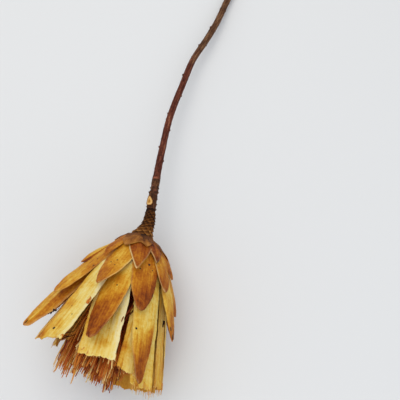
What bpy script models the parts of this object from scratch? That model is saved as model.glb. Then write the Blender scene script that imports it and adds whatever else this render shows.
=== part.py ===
# Sugarbush protea, dried and cut, lying on its side.
# The bloom opens towards -Y, the stem runs back along +Y, and the surface it lies on is Z = 0.

import math
import random

import bmesh
import bpy
from mathutils import Vector

MM = 0.001
GOLDEN_ANGLE = math.radians(137.508)
SMOOTH_UNDER = math.radians(40.0)

# Where the bloom's base sits, and how far its axis rises towards the open end
BASE = Vector((5.4, -74.5, 32.8)) * MM
AXIS_RISE = math.radians(6.7)

# The bloom sits askew on its neck: its axis swings sideways near the base
SKEW = 2.1 * MM
SKEW_REACH = 8.0 * MM

# Receptacle that carries the bracts: distances along the axis and radii, in millimetres
RECEPTACLE = ((0.3, 8.4), (4.0, 11.2), (8.0, 13.8), (12.0, 15.2), (16.0, 15.0), (20.0, 12.0), (22.0, 8.0))
RECEPTACLE_SIDES = 18

# Bracts: leathery blades that lean out at the base, then curve in round the bloom
BLADE_THICKNESS = 0.8 * MM
BASE_CURVE = 14.0 * MM
MIN_CUP_RADIUS = 10.0 * MM
ROOT_RADIUS = 7.4 * MM
ROOT_SLOPE = 0.42

# Outlines of the bracts: shares of the full width at even steps from the root to the tip
BASAL_OUTLINE = (0.80, 0.95, 1.0, 0.86, 0.52, 0.08)
SHORT_OUTLINE = (0.60, 0.88, 1.0, 0.98, 0.78, 0.24)
LONG_OUTLINE = (0.60, 0.88, 1.0, 0.98, 0.80, 0.26)
STRAP_OUTLINE = (0.45, 0.60, 0.84, 1.0, 1.0, 1.0)

# Grids of the bracts: steps along and across
COLLAR_GRID = (3, 2)
BASAL_GRID = (4, 2)
SHORT_GRID = (5, 4)
LONG_GRID = (7, 4)

# Scaly neck under the bloom
NECK_LENGTH = 22.0 * MM
NECK_RADIUS_STEM = 3.8 * MM
NECK_RADIUS_BLOOM = 8.0 * MM
NECK_FLARE = 3.2
NECK_SIDES = 14
NECK_STEPS = 8
NECK_BEND = 2.9 * MM
SCALE_COUNT = 60
SCALE_FIRST = 0.97
SCALE_SPAN = 0.70
SCALE_CROWDING = 0.8
SCALE_LENGTH = 3.4 * MM
SCALE_WIDTH = 3.8 * MM
SCALE_LENGTH_GAIN = 2.0 * MM
SCALE_WIDTH_GAIN = 1.6 * MM
SCALE_HALF_THICKNESS = 0.5 * MM
SCALE_SINK = 0.5 * MM
SCALE_RISE = 0.32

# Stem: route from the neck to the cut end, in millimetres from the bloom's base
STEM_ROUTE = (
    (-2.9, 22.2, -2.7),
    (-6.5, 45.0, -5.3),
    (-10.5, 72.0, -8.3),
    (-14.0, 105.0, -12.0),
    (-13.5, 140.0, -15.9),
    (-12.5, 165.0, -18.8),
    (-7.5, 190.0, -21.6),
    (-4.0, 212.0, -24.1),
    (-2.0, 238.0, -27.1),
    (0.5, 262.0, -30.0),
)
STEM_RADIUS_TOP = 3.8 * MM
STEM_RADIUS_MID = 2.6 * MM
STEM_RADIUS_END = 2.9 * MM
STEM_FLARE_SHARE = 0.10
STEM_STEPS = 34

# Collar where one year's growth ended: its place as a share of the stem, and its size
COLLAR_SHARE = 0.115
COLLAR_SPAN = 0.012
COLLAR_HEIGHT = 0.35 * MM

# Knots: leaf scars spaced round the stem, and the larger scar of a pruned shoot under the neck
KNOT_COUNT = 15
KNOT_FIRST = 0.068
KNOT_SPACING = 0.06
KNOT_HALF_LENGTH = 1.5 * MM
KNOT_HALF_WIDTH = 1.5 * MM
KNOT_HEIGHT = 1.1 * MM
KNOT_SINK = 1.3 * MM
SCAR_SHARE = 0.045
SCAR_AZIMUTH = math.radians(-35.0)
SCAR_HALF_LENGTH = 3.6 * MM
SCAR_HEIGHT = 1.5 * MM

# Brush of dried florets inside the bracts: core profile, then the bristles on it, in millimetres
BRUSH_CORE = ((22.4, 7.0), (28.0, 12.0), (44.0, 17.0), (62.0, 19.0), (74.0, 15.0), (80.0, 7.0))
BRUSH_SIDES = 12
BRISTLE_COUNT = 190
BRISTLE_RADIUS = 0.85 * MM
BRISTLE_TIP_RADIUS = 0.3 * MM
BRISTLE_ROOT_CENTRE = 72.0
BRISTLE_ROOT_RIM = 38.0
BRISTLE_ROOT_RADIUS = 15.0
BRISTLE_TIP_CENTRE = 112.0
BRISTLE_TIP_RIM = 107.0
BRUSH_MOUTH_START = 7.0
BRUSH_MOUTH_SLOPE = 0.27
BRUSH_NARROWING = 0.24
BRUSH_SEED = 13

# Colours and roughness of the dry plant
BRACT_LOOK = ((0.55, 0.34, 0.10), 0.6)
NECK_LOOK = ((0.16, 0.07, 0.03), 0.8)
STEM_LOOK = ((0.14, 0.05, 0.02), 0.6)
FLORET_LOOK = ((0.23, 0.07, 0.02), 0.8)

# Bracts in their layers. Azimuth 0 faces up, 90 faces +X. Lengths in millimetres, angles in degrees:
# azimuth, attached at, length, width, leans from the axis at base, middle and tip, twist, roll
COLLAR_BRACTS = (
    (-14, 0.8, 26, 17, (62, 36, 32), 0, 4),
    (14, 0.8, 22, 12, (62, 43, 40), 4, 0),
    (60, 0.8, 18, 11, (62, 40, 36), 0, 0),
    (-62, 0.8, 17, 12, (60, 38, 34), 0, 0),
    (104, 0.8, 18, 12, (62, 40, 36), 0, 0),
    (150, 0.8, 18, 12, (62, 40, 36), 0, 0),
    (196, 0.8, 18, 12, (62, 40, 36), 0, 0),
    (246, 0.8, 18, 12, (62, 40, 36), 0, 0),
)
BASAL_BRACTS = (
    (4, 1.0, 44, 17, (60, 30, 32), 9, 6),
    (40, 1.0, 31, 13, (64, 28, 27), -2, -6),
    (-41, 1.2, 40, 11, (60, 36, 29), 12, -14),
    (-104, 1.1, 24, 14, (58, 43, 40), 0, 0),
    (92, 1.0, 22, 13, (62, 38, 34), 0, 0),
    (136, 1.4, 30, 14, (60, 36, 34), 0, 0),
    (176, 1.0, 28, 14, (58, 34, 32), 0, 0),
    (216, 1.4, 30, 14, (60, 38, 36), 0, 0),
)
SHORT_BRACTS = (
    (-13, 3.0, 61, 18, (62, 23, 33), -3, 9),
    (57, 4.0, 46, 16, (62, 25, 24), -2, 0),
    (80, 2.0, 34, 9, (64, 28, 25), -2, 16),
    (-68, 2.1, 44, 11.5, (55, 35, 33), 0, -40),
    (122, 2.4, 46, 17, (60, 29, 26), 0, 0),
    (158, 3.0, 44, 17, (58, 27, 22), 0, 0),
    (196, 2.4, 46, 17, (58, 27, 22), 0, 0),
    (236, 3.0, 48, 17, (60, 33, 31), 0, 0),
)
LONG_BRACTS = (
    (-2, 5.2, 92, 18, (60, 15.5, 24.5), -1, 26),
    (24, 4.0, 67, 19, (62, 21, 24), 3, 0),
    (88, 3.5, 57, 18, (62, 25, 21), 0, 14),
    (-55, 3.5, 70, 18.5, (58, 26, 27), -8, -23),
    (112, 4.0, 70, 20, (60, 24, 22), 0, 0),
    (146, 4.4, 66, 20, (58, 21, 18), 0, 0),
    (180, 4.0, 70, 21, (58, 21, 18), 0, 0),
    (214, 4.4, 68, 20, (58, 22, 18), 0, 0),
    (250, 4.0, 70, 20, (60, 28, 27), 0, 0),
    (72, 5.0, 75, 20, (62, 21, 22), 0, 8),
    (-72, 5.0, 95.5, 16, (55, 25, 24.5), -3, -38),
    (35, 6.0, 108, 18, (57, 17, 22), 3, -6),
    (130, 5.4, 92, 20, (58, 20, 18), 0, 0),
    (163, 5.4, 96, 20, (56, 18, 17), 0, 0),
    (197, 5.4, 92, 20, (56, 18, 17), 0, 0),
    (231, 5.4, 90, 20, (58, 22, 20), 0, 0),
    (265, 5.6, 75, 20, (57, 23, 21), 0, -6),
)
STRAPS = (
    (-30, 6.0, 98, 19, (58, 16, 26), -1, 0),
    (-12, 6.5, 96, 23, (56, 12, 13), 17, 0),
    (41, 7.0, 99, 16, (54, 13.5, 16), -6, 16),
    (40, 7.6, 104, 15.5, (55, 11.5, 17.5), 8, 6),
    (74, 7.5, 99, 14, (56, 12.5, 16), 2, 9),
    (104, 7.0, 99, 22, (56, 15, 14), 0, 0),
    (128, 7.5, 100, 22, (54, 13, 14), 0, 0),
    (154, 7.0, 101, 22, (52, 11, 12), 0, 0),
    (181, 7.5, 98, 22, (52, 10, 11), 0, 0),
    (208, 7.0, 97, 22, (52, 11, 12), 0, 0),
    (230, 7.5, 92, 20, (54, 9, 7), 0, 0),
    (266, 7.0, 90, 20, (56, 9, 7), 0, -12),
    (286, 7.2, 95, 21, (55, 14, 18), 4, -10),
)


# Directions of the bloom
def bloom_frame():
    along = Vector((0.0, -math.cos(AXIS_RISE), math.sin(AXIS_RISE)))
    upward = Vector((0.0, math.sin(AXIS_RISE), math.cos(AXIS_RISE)))
    sideways = Vector((1.0, 0.0, 0.0))
    return along, upward, sideways


# Centre of the bloom at a distance along its axis
def bloom_centre(distance):
    along, _, sideways = bloom_frame()
    return BASE + along * distance - sideways * (SKEW * math.exp(-((distance / SKEW_REACH) ** 2)))


# Point at a distance along the bloom's axis, out from it, at an azimuth
def bloom_point(distance, radius, azimuth):
    _, upward, sideways = bloom_frame()
    outward = upward * math.cos(azimuth) + sideways * math.sin(azimuth)
    return bloom_centre(distance) + outward * radius


def make_material(name, look):
    colour, roughness = look
    material = bpy.data.materials.new(name)
    material.use_nodes = True
    shader = material.node_tree.nodes["Principled BSDF"]
    shader.inputs["Base Color"].default_value = (*colour, 1.0)
    shader.inputs["Roughness"].default_value = roughness
    shader.inputs["Metallic"].default_value = 0.0
    return material


# Gives a finished sub-part its material and shades its round forms smooth
def finish(item, material):
    item.data.materials.append(material)
    item.data.shade_smooth()
    item.data.set_sharp_from_angle(angle=SMOOTH_UNDER)


def new_collection(name):
    collection = bpy.data.collections.new(name)
    bpy.context.scene.collection.children.link(collection)
    return collection


def add_object(name, bm, collection):
    mesh = bpy.data.meshes.new(name)
    bm.normal_update()
    bmesh.ops.recalc_face_normals(bm, faces=bm.faces)
    bm.to_mesh(mesh)
    bm.free()
    item = bpy.data.objects.new(name, mesh)
    collection.objects.link(item)
    return item


# Replaces an object's mesh with the result of its modifiers
def apply_modifiers(item):
    graph = bpy.context.evaluated_depsgraph_get()
    graph.update()
    mesh = bpy.data.meshes.new_from_object(item.evaluated_get(graph))
    item.modifiers.clear()
    old_mesh = item.data
    item.data = mesh
    bpy.data.meshes.remove(old_mesh)


# Keeps the outer skin: sealed hollows and loose scraps left by the union are dropped
def keep_largest_shell(item):
    bm = bmesh.new()
    bm.from_mesh(item.data)
    unseen = set(bm.faces)
    shells = []
    while unseen:
        first = unseen.pop()
        stack = [first]
        shell = [first]
        while stack:
            face = stack.pop()
            for edge in face.edges:
                for other in edge.link_faces:
                    if other in unseen:
                        unseen.remove(other)
                        stack.append(other)
                        shell.append(other)
        shells.append(shell)
    shells.sort(key=len, reverse=True)
    for shell in shells[1:]:
        bmesh.ops.delete(bm, geom=shell, context="FACES")
    bm.to_mesh(item.data)
    bm.free()


# Joins a collection of closed solids to one of them in a single union
def fuse(item, pieces):
    union = item.modifiers.new("union", "BOOLEAN")
    union.operation = "UNION"
    union.operand_type = "COLLECTION"
    union.solver = "MANIFOLD"
    union.collection = pieces
    apply_modifiers(item)
    for piece in list(pieces.objects):
        bpy.data.objects.remove(piece)
    bpy.data.collections.remove(pieces)
    keep_largest_shell(item)


# Skins rings of points into a closed solid, with a cap on each end
def skin_rings(name, rings, collection):
    bm = bmesh.new()
    loops = [[bm.verts.new(point) for point in ring] for ring in rings]
    for lower, upper in zip(loops, loops[1:]):
        for side in range(len(lower)):
            after = (side + 1) % len(lower)
            bm.faces.new((lower[side], lower[after], upper[after], upper[side]))
    bm.faces.new(loops[0])
    bm.faces.new(loops[-1])
    return add_object(name, bm, collection)


# Solid of revolution about the bloom's axis, from a profile of distance and radius in millimetres
def turned_solid(name, profile, sides, collection):
    rings = []
    for distance, radius in profile:
        ring = [bloom_point(distance * MM, radius * MM, math.tau * side / sides) for side in range(sides)]
        rings.append(ring)
    return skin_rings(name, rings, collection)


# Smooth curve through a list of points or numbers, at a share of its length
def curve_through(points, share):
    spans = len(points) - 1
    position = min(share * spans, spans - 1e-6)
    index = int(position)
    t = position - index
    p1 = points[index]
    p2 = points[index + 1]
    p0 = points[index - 1] if index else p1 * 2.0 - p2
    p3 = points[index + 2] if index + 2 <= spans else p2 * 2.0 - p1
    return 0.5 * (
        p1 * 2.0
        + (p2 - p0) * t
        + (p0 * 2.0 - p1 * 5.0 + p2 * 4.0 - p3) * t * t
        + (p1 * 3.0 - p0 - p2 * 3.0 + p3) * t**3
    )


# Centre line of a bract: distance, radius and lean for each step along it
def centre_line(attach, length, leans, steps):
    first, middle, last = (math.radians(lean) for lean in leans)
    distance = attach
    radius = ROOT_RADIUS + ROOT_SLOPE * attach
    line = []
    for step in range(steps + 1):
        share = step / steps
        lean = middle + (last - middle) * share**2
        lean += (first - middle) * math.exp(-length * share / BASE_CURVE)
        if step:
            distance += math.cos(0.5 * (lean + lean_before)) * length / steps
            radius += math.sin(0.5 * (lean + lean_before)) * length / steps
        lean_before = lean
        line.append((distance, radius, lean))
    return line


# A bract is a grid laid along its centre line, cupped round the bloom and thickened
def make_bract(row, outline, grid, collection):
    azimuth, attach, length, width, leans, twist, roll = row
    rows, columns = grid
    line = centre_line(attach * MM, length * MM, leans, rows)
    along, upward, sideways = bloom_frame()
    bm = bmesh.new()
    bmesh.ops.create_grid(bm, x_segments=columns, y_segments=rows, size=1.0)
    for vertex in bm.verts:
        share = 0.5 * (vertex.co.y + 1.0)
        distance, radius, lean = line[round(share * rows)]
        turn = math.radians(azimuth + twist * share)
        outward = upward * math.cos(turn) + sideways * math.sin(turn)
        across = sideways * math.cos(turn) - upward * math.sin(turn)
        face_out = outward * math.cos(lean) - along * math.sin(lean)
        offset = vertex.co.x * 0.5 * width * MM * curve_through(outline, share)
        lift = offset * math.tan(math.radians(roll) * share)
        lift -= offset * offset / (2.0 * max(radius, MIN_CUP_RADIUS))
        vertex.co = bloom_centre(distance) + outward * radius + across * offset + face_out * lift
    bract = add_object("bract", bm, collection)
    shell = bract.modifiers.new("thickness", "SOLIDIFY")
    shell.thickness = BLADE_THICKNESS
    shell.offset = 0.0
    apply_modifiers(bract)
    press_on_surface(bract)
    return bract


# Where the bloom's weight presses a blade on the surface, the blade lies flat
def press_on_surface(bract):
    for vertex in bract.data.vertices:
        if vertex.co.z < 0.5 * BLADE_THICKNESS:
            vertex.co.z = 0.0
        elif vertex.co.z < BLADE_THICKNESS:
            vertex.co.z = BLADE_THICKNESS


def make_bracts(collection):
    bracts = turned_solid("bracts", RECEPTACLE, RECEPTACLE_SIDES, collection)
    blades = new_collection("blades")
    for row in COLLAR_BRACTS:
        make_bract(row, BASAL_OUTLINE, COLLAR_GRID, blades)
    for row in BASAL_BRACTS:
        make_bract(row, BASAL_OUTLINE, BASAL_GRID, blades)
    for row in SHORT_BRACTS:
        make_bract(row, SHORT_OUTLINE, SHORT_GRID, blades)
    for row in LONG_BRACTS:
        make_bract(row, LONG_OUTLINE, LONG_GRID, blades)
    for row in STRAPS:
        make_bract(row, STRAP_OUTLINE, LONG_GRID, blades)
    fuse(bracts, blades)
    finish(bracts, make_material("dry_bract", BRACT_LOOK))


# Centre of the neck, which bends slightly to meet the stem
def neck_centre(distance):
    share = distance / NECK_LENGTH
    centre = bloom_centre(-distance)
    centre.x -= NECK_BEND * share * share
    return centre


# Directions at a place on the neck, square to its bent centre line
def neck_frame(distance):
    along, upward, sideways = bloom_frame()
    slope = 2.0 * NECK_BEND * distance / NECK_LENGTH**2
    direction = (along + sideways * slope).normalized()
    return direction, upward, (sideways - along * slope).normalized()


def neck_radius(distance):
    share = 1.0 - distance / NECK_LENGTH
    return NECK_RADIUS_STEM + (NECK_RADIUS_BLOOM - NECK_RADIUS_STEM) * share**NECK_FLARE


# Scale: a flattened four-sided spike lying on the neck, its root sunk in
def make_scale(distance, azimuth, length, width, collection):
    along, upward, sideways = neck_frame(distance)
    outward = upward * math.cos(azimuth) + sideways * math.sin(azimuth)
    across = sideways * math.cos(azimuth) - upward * math.sin(azimuth)
    root = neck_centre(distance) + outward * (neck_radius(distance) - SCALE_SINK)
    bm = bmesh.new()
    bmesh.ops.create_cone(bm, cap_ends=True, segments=4, radius1=1.0, radius2=0.25, depth=1.0)
    for vertex in bm.verts:
        share = vertex.co.z + 0.5
        lift = SCALE_RISE * share * length + vertex.co.y * SCALE_HALF_THICKNESS
        place = root + along * (share * length) + across * (0.5 * width * vertex.co.x) + outward * lift
        vertex.co = place
    return add_object("scale", bm, collection)


def make_neck(collection):
    rings = []
    for step in range(NECK_STEPS + 1):
        distance = NECK_LENGTH * (1.0 - step / NECK_STEPS)
        _, upward, sideways = neck_frame(distance)
        centre = neck_centre(distance)
        ring = []
        for side in range(NECK_SIDES):
            turn = math.tau * side / NECK_SIDES
            outward = upward * math.cos(turn) + sideways * math.sin(turn)
            ring.append(centre + outward * neck_radius(distance))
        rings.append(ring)
    neck = skin_rings("scaly_neck", rings, collection)
    scales = new_collection("scales")
    for number in range(SCALE_COUNT):
        share = (number + 0.5) / SCALE_COUNT
        distance = NECK_LENGTH * (SCALE_FIRST - SCALE_SPAN * share**SCALE_CROWDING)
        length = SCALE_LENGTH + SCALE_LENGTH_GAIN * share
        width = SCALE_WIDTH + SCALE_WIDTH_GAIN * share
        make_scale(distance, number * GOLDEN_ANGLE, length, width, scales)
    fuse(neck, scales)
    finish(neck, make_material("scaly_bark", NECK_LOOK))


def stem_point(share):
    route = [Vector(place) for place in STEM_ROUTE]
    return BASE + curve_through(route, share) * MM


def stem_radius(share):
    flare = (STEM_RADIUS_TOP - STEM_RADIUS_MID) * math.exp(-share / STEM_FLARE_SHARE)
    collar = COLLAR_HEIGHT * math.exp(-(((share - COLLAR_SHARE) / COLLAR_SPAN) ** 2))
    return STEM_RADIUS_MID + (STEM_RADIUS_END - STEM_RADIUS_MID) * share + flare + collar


# Knot: a leaf scar or a pruned shoot, a low boss on the bark
def make_knot(share, azimuth, half_length, height, collection):
    centre = stem_point(share)
    direction = (stem_point(min(share + 0.01, 1.0)) - stem_point(share - 0.01)).normalized()
    sideways = direction.cross(Vector((0.0, 0.0, 1.0))).normalized()
    upward = sideways.cross(direction)
    outward = upward * math.cos(azimuth) + sideways * math.sin(azimuth)
    across = direction.cross(outward)
    bm = bmesh.new()
    bmesh.ops.create_cone(bm, cap_ends=True, segments=6, radius1=1.0, radius2=0.6, depth=1.0)
    for vertex in bm.verts:
        rise = stem_radius(share) - KNOT_SINK + (vertex.co.z + 0.5) * (height + 1.0 * MM)
        place = centre + outward * rise + direction * (vertex.co.x * half_length)
        vertex.co = place + across * (vertex.co.y * KNOT_HALF_WIDTH)
    return add_object("knot", bm, collection)


# Stem: a curve with a round bevel, made a mesh so that the knots can be joined to it
def make_stem(collection):
    curve = bpy.data.curves.new("stem", "CURVE")
    curve.dimensions = "3D"
    curve.bevel_depth = 1.0
    curve.bevel_resolution = 3
    curve.use_fill_caps = True
    spline = curve.splines.new("POLY")
    spline.points.add(STEM_STEPS)
    for step, point in enumerate(spline.points):
        share = step / STEM_STEPS
        point.co = (*stem_point(share), 1.0)
        point.radius = stem_radius(share)
    guide = bpy.data.objects.new("stem_curve", curve)
    collection.objects.link(guide)
    graph = bpy.context.evaluated_depsgraph_get()
    graph.update()
    mesh = bpy.data.meshes.new_from_object(guide.evaluated_get(graph))
    bpy.data.objects.remove(guide)
    bm = bmesh.new()
    bm.from_mesh(mesh)
    bpy.data.meshes.remove(mesh)
    bmesh.ops.remove_doubles(bm, verts=bm.verts, dist=0.01 * MM)
    stem = add_object("stem", bm, collection)

    knots = new_collection("knots")
    for number in range(KNOT_COUNT):
        share = KNOT_FIRST + KNOT_SPACING * number
        make_knot(share, number * GOLDEN_ANGLE, KNOT_HALF_LENGTH, KNOT_HEIGHT, knots)
    make_knot(SCAR_SHARE, SCAR_AZIMUTH, SCAR_HALF_LENGTH, SCAR_HEIGHT, knots)
    fuse(stem, knots)
    finish(stem, make_material("brown_bark", STEM_LOOK))


# Radius that the brush keeps to at a distance along the axis, inside the innermost bracts:
# it is narrower towards -X
def brush_limit(distance, azimuth):
    narrowing = 1.0 - BRUSH_NARROWING * max(-math.sin(azimuth), 0.0)
    return (BRUSH_MOUTH_START + BRUSH_MOUTH_SLOPE * distance) * narrowing


# Bristle: a dried floret, fanning out from the core to the mouth of the bloom
def make_bristle(number, chance, collection):
    azimuth = number * GOLDEN_ANGLE
    spread = math.sqrt((number + 0.5) / BRISTLE_COUNT)
    root_distance = BRISTLE_ROOT_CENTRE + (BRISTLE_ROOT_RIM - BRISTLE_ROOT_CENTRE) * spread
    root_distance += chance.uniform(-3.0, 3.0)
    tip_distance = BRISTLE_TIP_CENTRE + (BRISTLE_TIP_RIM - BRISTLE_TIP_CENTRE) * spread
    tip_distance += chance.uniform(-8.0, 3.0)
    sway = chance.uniform(-0.10, 0.10)
    tip_radius = spread * chance.uniform(0.9, 1.0) * brush_limit(tip_distance, azimuth)
    root = bloom_point(root_distance * MM, spread * BRISTLE_ROOT_RADIUS * MM, azimuth)
    tip = bloom_point(tip_distance * MM, tip_radius * MM, azimuth + sway)
    direction = (tip - root).normalized()
    side = direction.cross(Vector((0.3, 0.5, 0.8))).normalized()
    other = direction.cross(side)
    length = (tip - root).length
    bm = bmesh.new()
    bmesh.ops.create_cone(
        bm, cap_ends=True, segments=3, radius1=BRISTLE_RADIUS, radius2=BRISTLE_TIP_RADIUS, depth=length
    )
    for vertex in bm.verts:
        along = vertex.co.z + 0.5 * length
        vertex.co = root + direction * along + side * vertex.co.x + other * vertex.co.y
    return add_object("bristle", bm, collection)


def make_brush(collection):
    florets = turned_solid("florets", BRUSH_CORE, BRUSH_SIDES, collection)
    bristles = new_collection("bristles")
    chance = random.Random(BRUSH_SEED)
    for number in range(BRISTLE_COUNT):
        make_bristle(number, chance, bristles)
    fuse(florets, bristles)
    finish(florets, make_material("dry_floret", FLORET_LOOK))


def clear_scene():
    for item in list(bpy.data.objects):
        bpy.data.objects.remove(item)


def main():
    clear_scene()
    protea = new_collection("sugarbush_protea")
    make_bracts(protea)
    make_neck(protea)
    make_stem(protea)
    make_brush(protea)


main()
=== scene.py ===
# Dried sugarbush protea: a bloom lying on its side, with its bracts, brush of florets, scaly neck and stem.
import math
import random
import bpy
from mathutils import Euler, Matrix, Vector, noise


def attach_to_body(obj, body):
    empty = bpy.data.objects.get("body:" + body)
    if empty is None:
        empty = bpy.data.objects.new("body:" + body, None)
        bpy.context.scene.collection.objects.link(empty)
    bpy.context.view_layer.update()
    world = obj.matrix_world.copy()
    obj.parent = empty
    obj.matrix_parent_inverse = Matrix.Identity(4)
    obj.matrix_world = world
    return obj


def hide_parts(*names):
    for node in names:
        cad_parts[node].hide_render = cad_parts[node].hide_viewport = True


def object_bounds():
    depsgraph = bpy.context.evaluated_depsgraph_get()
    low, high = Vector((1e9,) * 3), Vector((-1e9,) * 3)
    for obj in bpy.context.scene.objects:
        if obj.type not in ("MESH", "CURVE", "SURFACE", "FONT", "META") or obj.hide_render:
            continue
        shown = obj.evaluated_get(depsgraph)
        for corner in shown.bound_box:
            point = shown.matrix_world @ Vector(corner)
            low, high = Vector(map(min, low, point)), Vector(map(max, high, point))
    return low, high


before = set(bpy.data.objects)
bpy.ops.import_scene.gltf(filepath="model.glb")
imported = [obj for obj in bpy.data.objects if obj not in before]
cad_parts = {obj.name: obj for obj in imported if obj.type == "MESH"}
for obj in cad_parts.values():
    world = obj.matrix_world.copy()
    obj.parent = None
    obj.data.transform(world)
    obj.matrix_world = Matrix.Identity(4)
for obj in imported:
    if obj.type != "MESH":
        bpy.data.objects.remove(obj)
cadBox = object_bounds()
bpy.ops.object.select_all(action="DESELECT")
print("frame loaded")

mm = 0.001
goldenAngle = math.radians(137.508)

# camera and bench

camera = {
    "place": (0.0734, -0.1609, 0.4358),
    "turn": (18.0, 0.0, 16.46),  # degrees
    "lens": 50.4,
    "clipStart": 0.01,
}
bench = {
    "floorSize": 4.0,
    "floorColour": "#e1e3e3",
    "skyColour": "#ebedf2",
    "skyStrength": 0.765,
    "lamps": (  # name, place, aim, size, watts, colour
        ("windowLight", (-0.30, 0.30, 1.25), (0.0, -0.02, 0.02), 1.1, 6.5, "#fff8ee"),
        ("fillLight", (0.35, -0.8, 0.9), (0.0, -0.1, 0.03), 1.2, 3.6, "#f3f6ff"),
    ),
}


def toLinear(hexColour):
    channels = [int(hexColour[i:i + 2], 16) / 255 for i in (1, 3, 5)]
    return tuple(c / 12.92 if c <= 0.04045 else ((c + 0.055) / 1.055) ** 2.4 for c in channels) + (1.0,)


# sets a node's inputs, each to a value, or linked to a socket or to a node's first output
def setInputs(tree, node, inputs):
    for name, source in inputs.items():
        if isinstance(source, bpy.types.Node):
            source = source.outputs[0]
        if isinstance(source, bpy.types.NodeSocket):
            tree.links.new(source, node.inputs[name])
        else:
            node.inputs[name].default_value = source


# adds a shader node with its inputs, a ramp's stops and its settings
def addNode(tree, kind, inputs=None, stops=None, **settings):
    node = tree.nodes.new("ShaderNode" + kind)
    for name, value in settings.items():
        setattr(node, name, value)
    setInputs(tree, node, inputs or {})
    if stops:
        ramp = node.color_ramp
        while len(ramp.elements) < len(stops):
            ramp.elements.new(0.5)
        for element, (position, colour) in zip(ramp.elements, stops):
            element.position = position
            element.color = toLinear(colour)
    return node


def newMaterial(name):
    material = bpy.data.materials.new(name)
    material.use_nodes = True
    tree = material.node_tree
    return material, tree, tree.nodes["Principled BSDF"]


def makeCamera():
    bpy.ops.object.camera_add(location=camera["place"])
    item = bpy.context.object
    item.name = "photoCamera"
    item.rotation_euler = Euler([math.radians(angle) for angle in camera["turn"]])
    item.data.lens = camera["lens"]
    item.data.clip_start = camera["clipStart"]
    bpy.context.scene.camera = item


def makeBench():
    bpy.ops.mesh.primitive_plane_add(size=bench["floorSize"], location=(0.0, 0.0, cadBox[0].z))
    floor = bpy.context.object
    floor.name = "floor"
    # Uncoated card: matt, with next to no gloss
    material, tree, shader = newMaterial("matt white card")
    setInputs(tree, shader, {"Base Color": toLinear(bench["floorColour"]), "Roughness": 0.9, "Specular IOR Level": 0.1})
    floor.data.materials.append(material)
    for name, place, aim, size, watts, colour in bench["lamps"]:
        bpy.ops.object.light_add(type="AREA", location=place)
        lamp = bpy.context.object
        lamp.name = name
        lamp.rotation_euler = (Vector(aim) - Vector(place)).to_track_quat("-Z", "Y").to_euler()
        lamp.data.size = size
        lamp.data.energy = watts
        lamp.data.color = toLinear(colour)[:3]
    world = bpy.data.worlds.new("soft studio")
    world.use_nodes = True
    setInputs(world.node_tree, world.node_tree.nodes["Background"],
              {"Color": toLinear(bench["skyColour"]), "Strength": bench["skyStrength"]})
    bpy.context.scene.world = world
    bpy.context.scene.view_settings.view_transform = "Standard"


makeCamera()
makeBench()
print("camera and bench made")

# the bloom's own directions: along its axis towards the open end, up, and sideways

bloom = {
    "base": Vector((5.4, -74.5, 32.8)) * mm,
    "rise": math.radians(6.7),
    "baseCurve": 14.0,  # mm over which a bract turns from its root to its own lean
    "minCup": 10.0,  # mm, tightest cup across a bract
    "rootRadius": 7.4,
    "rootSlope": 0.42,
    "tipFrom": 0.965,  # share of a pointed bract's length from which its tip is rounded off
    "tipOver": 0.036,
    "bladeThickness": 0.55,
    "edgeThickness": 0.45,  # of a blade's edge, as a share of its full thickness
    "pressedBelow": 1.2,  # mm over the floor below which a bract is pressed flat, down to pressedTo
    "pressedOver": 0.85,
    "pressedTo": 0.35,
    "skew": 2.1,  # mm, how far the bloom's base sits askew on its neck
    "skewReach": 8.0,
}
alongAxis = Vector((0.0, -math.cos(bloom["rise"]), math.sin(bloom["rise"])))
upAxis = Vector((0.0, math.sin(bloom["rise"]), math.cos(bloom["rise"])))
sideAxis = Vector((1.0, 0.0, 0.0))


def bloomCentre(distance):
    skew = bloom["skew"] * math.exp(-(distance / bloom["skewReach"]) ** 2)
    return bloom["base"] + (alongAxis * distance - sideAxis * skew) * mm


def outwardAt(azimuth):
    return upAxis * math.cos(azimuth) + sideAxis * math.sin(azimuth)


def bloomPoint(distance, radius, azimuth):
    return bloomCentre(distance) + outwardAt(azimuth) * radius * mm


def smoothStep(value):
    value = min(max(value, 0.0), 1.0)
    return value * value * (3.0 - 2.0 * value)


def blendOver(values, share):
    spans = len(values) - 1
    index = min(int(share * spans), spans - 1)
    part = smoothStep(share * spans - index)
    return values[index] * (1.0 - part) + values[index + 1] * part


# smooth curve through a list of points or numbers
def curveThrough(points, share):
    spans = len(points) - 1
    position = min(share * spans, spans - 1e-6)
    index = int(position)
    t = position - index
    p1, p2 = points[index], points[index + 1]
    p0 = points[index - 1] if index else p1 * 2.0 - p2
    p3 = points[index + 2] if index + 2 <= spans else p2 * 2.0 - p1
    return 0.5 * (2.0 * p1 + (p2 - p0) * t + (2.0 * p0 - 5.0 * p1 + 4.0 * p2 - p3) * t * t
                  + (3.0 * p1 - p0 - 3.0 * p2 + p3) * t ** 3)


# gives a finished object its name and its body, and hides the node it stands for
def enter(item, name, node):
    item.name = name
    item.data.name = name
    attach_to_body(item, "root")
    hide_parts(node)
    item.select_set(False)


# joins copies of a pattern into one piece, and removes the pattern
def enterCopies(items, pattern, name, node):
    bpy.data.objects.remove(pattern)
    bpy.ops.object.select_all(action="DESELECT")
    for item in items:
        item.select_set(True)
    bpy.context.view_layer.objects.active = items[0]
    bpy.ops.object.join()
    bpy.ops.object.shade_smooth()
    enter(bpy.context.object, name, node)


def thicken(item, **settings):
    bpy.context.view_layer.objects.active = item
    bpy.ops.object.modifier_add(type="SOLIDIFY")
    wall = item.modifiers[-1]
    for name, value in settings.items():
        setattr(wall, name, value)
    bpy.ops.object.modifier_apply(modifier=wall.name)


def copyOf(item):
    twin = item.copy()
    twin.data = item.data.copy()
    bpy.context.collection.objects.link(twin)
    return twin


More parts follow.
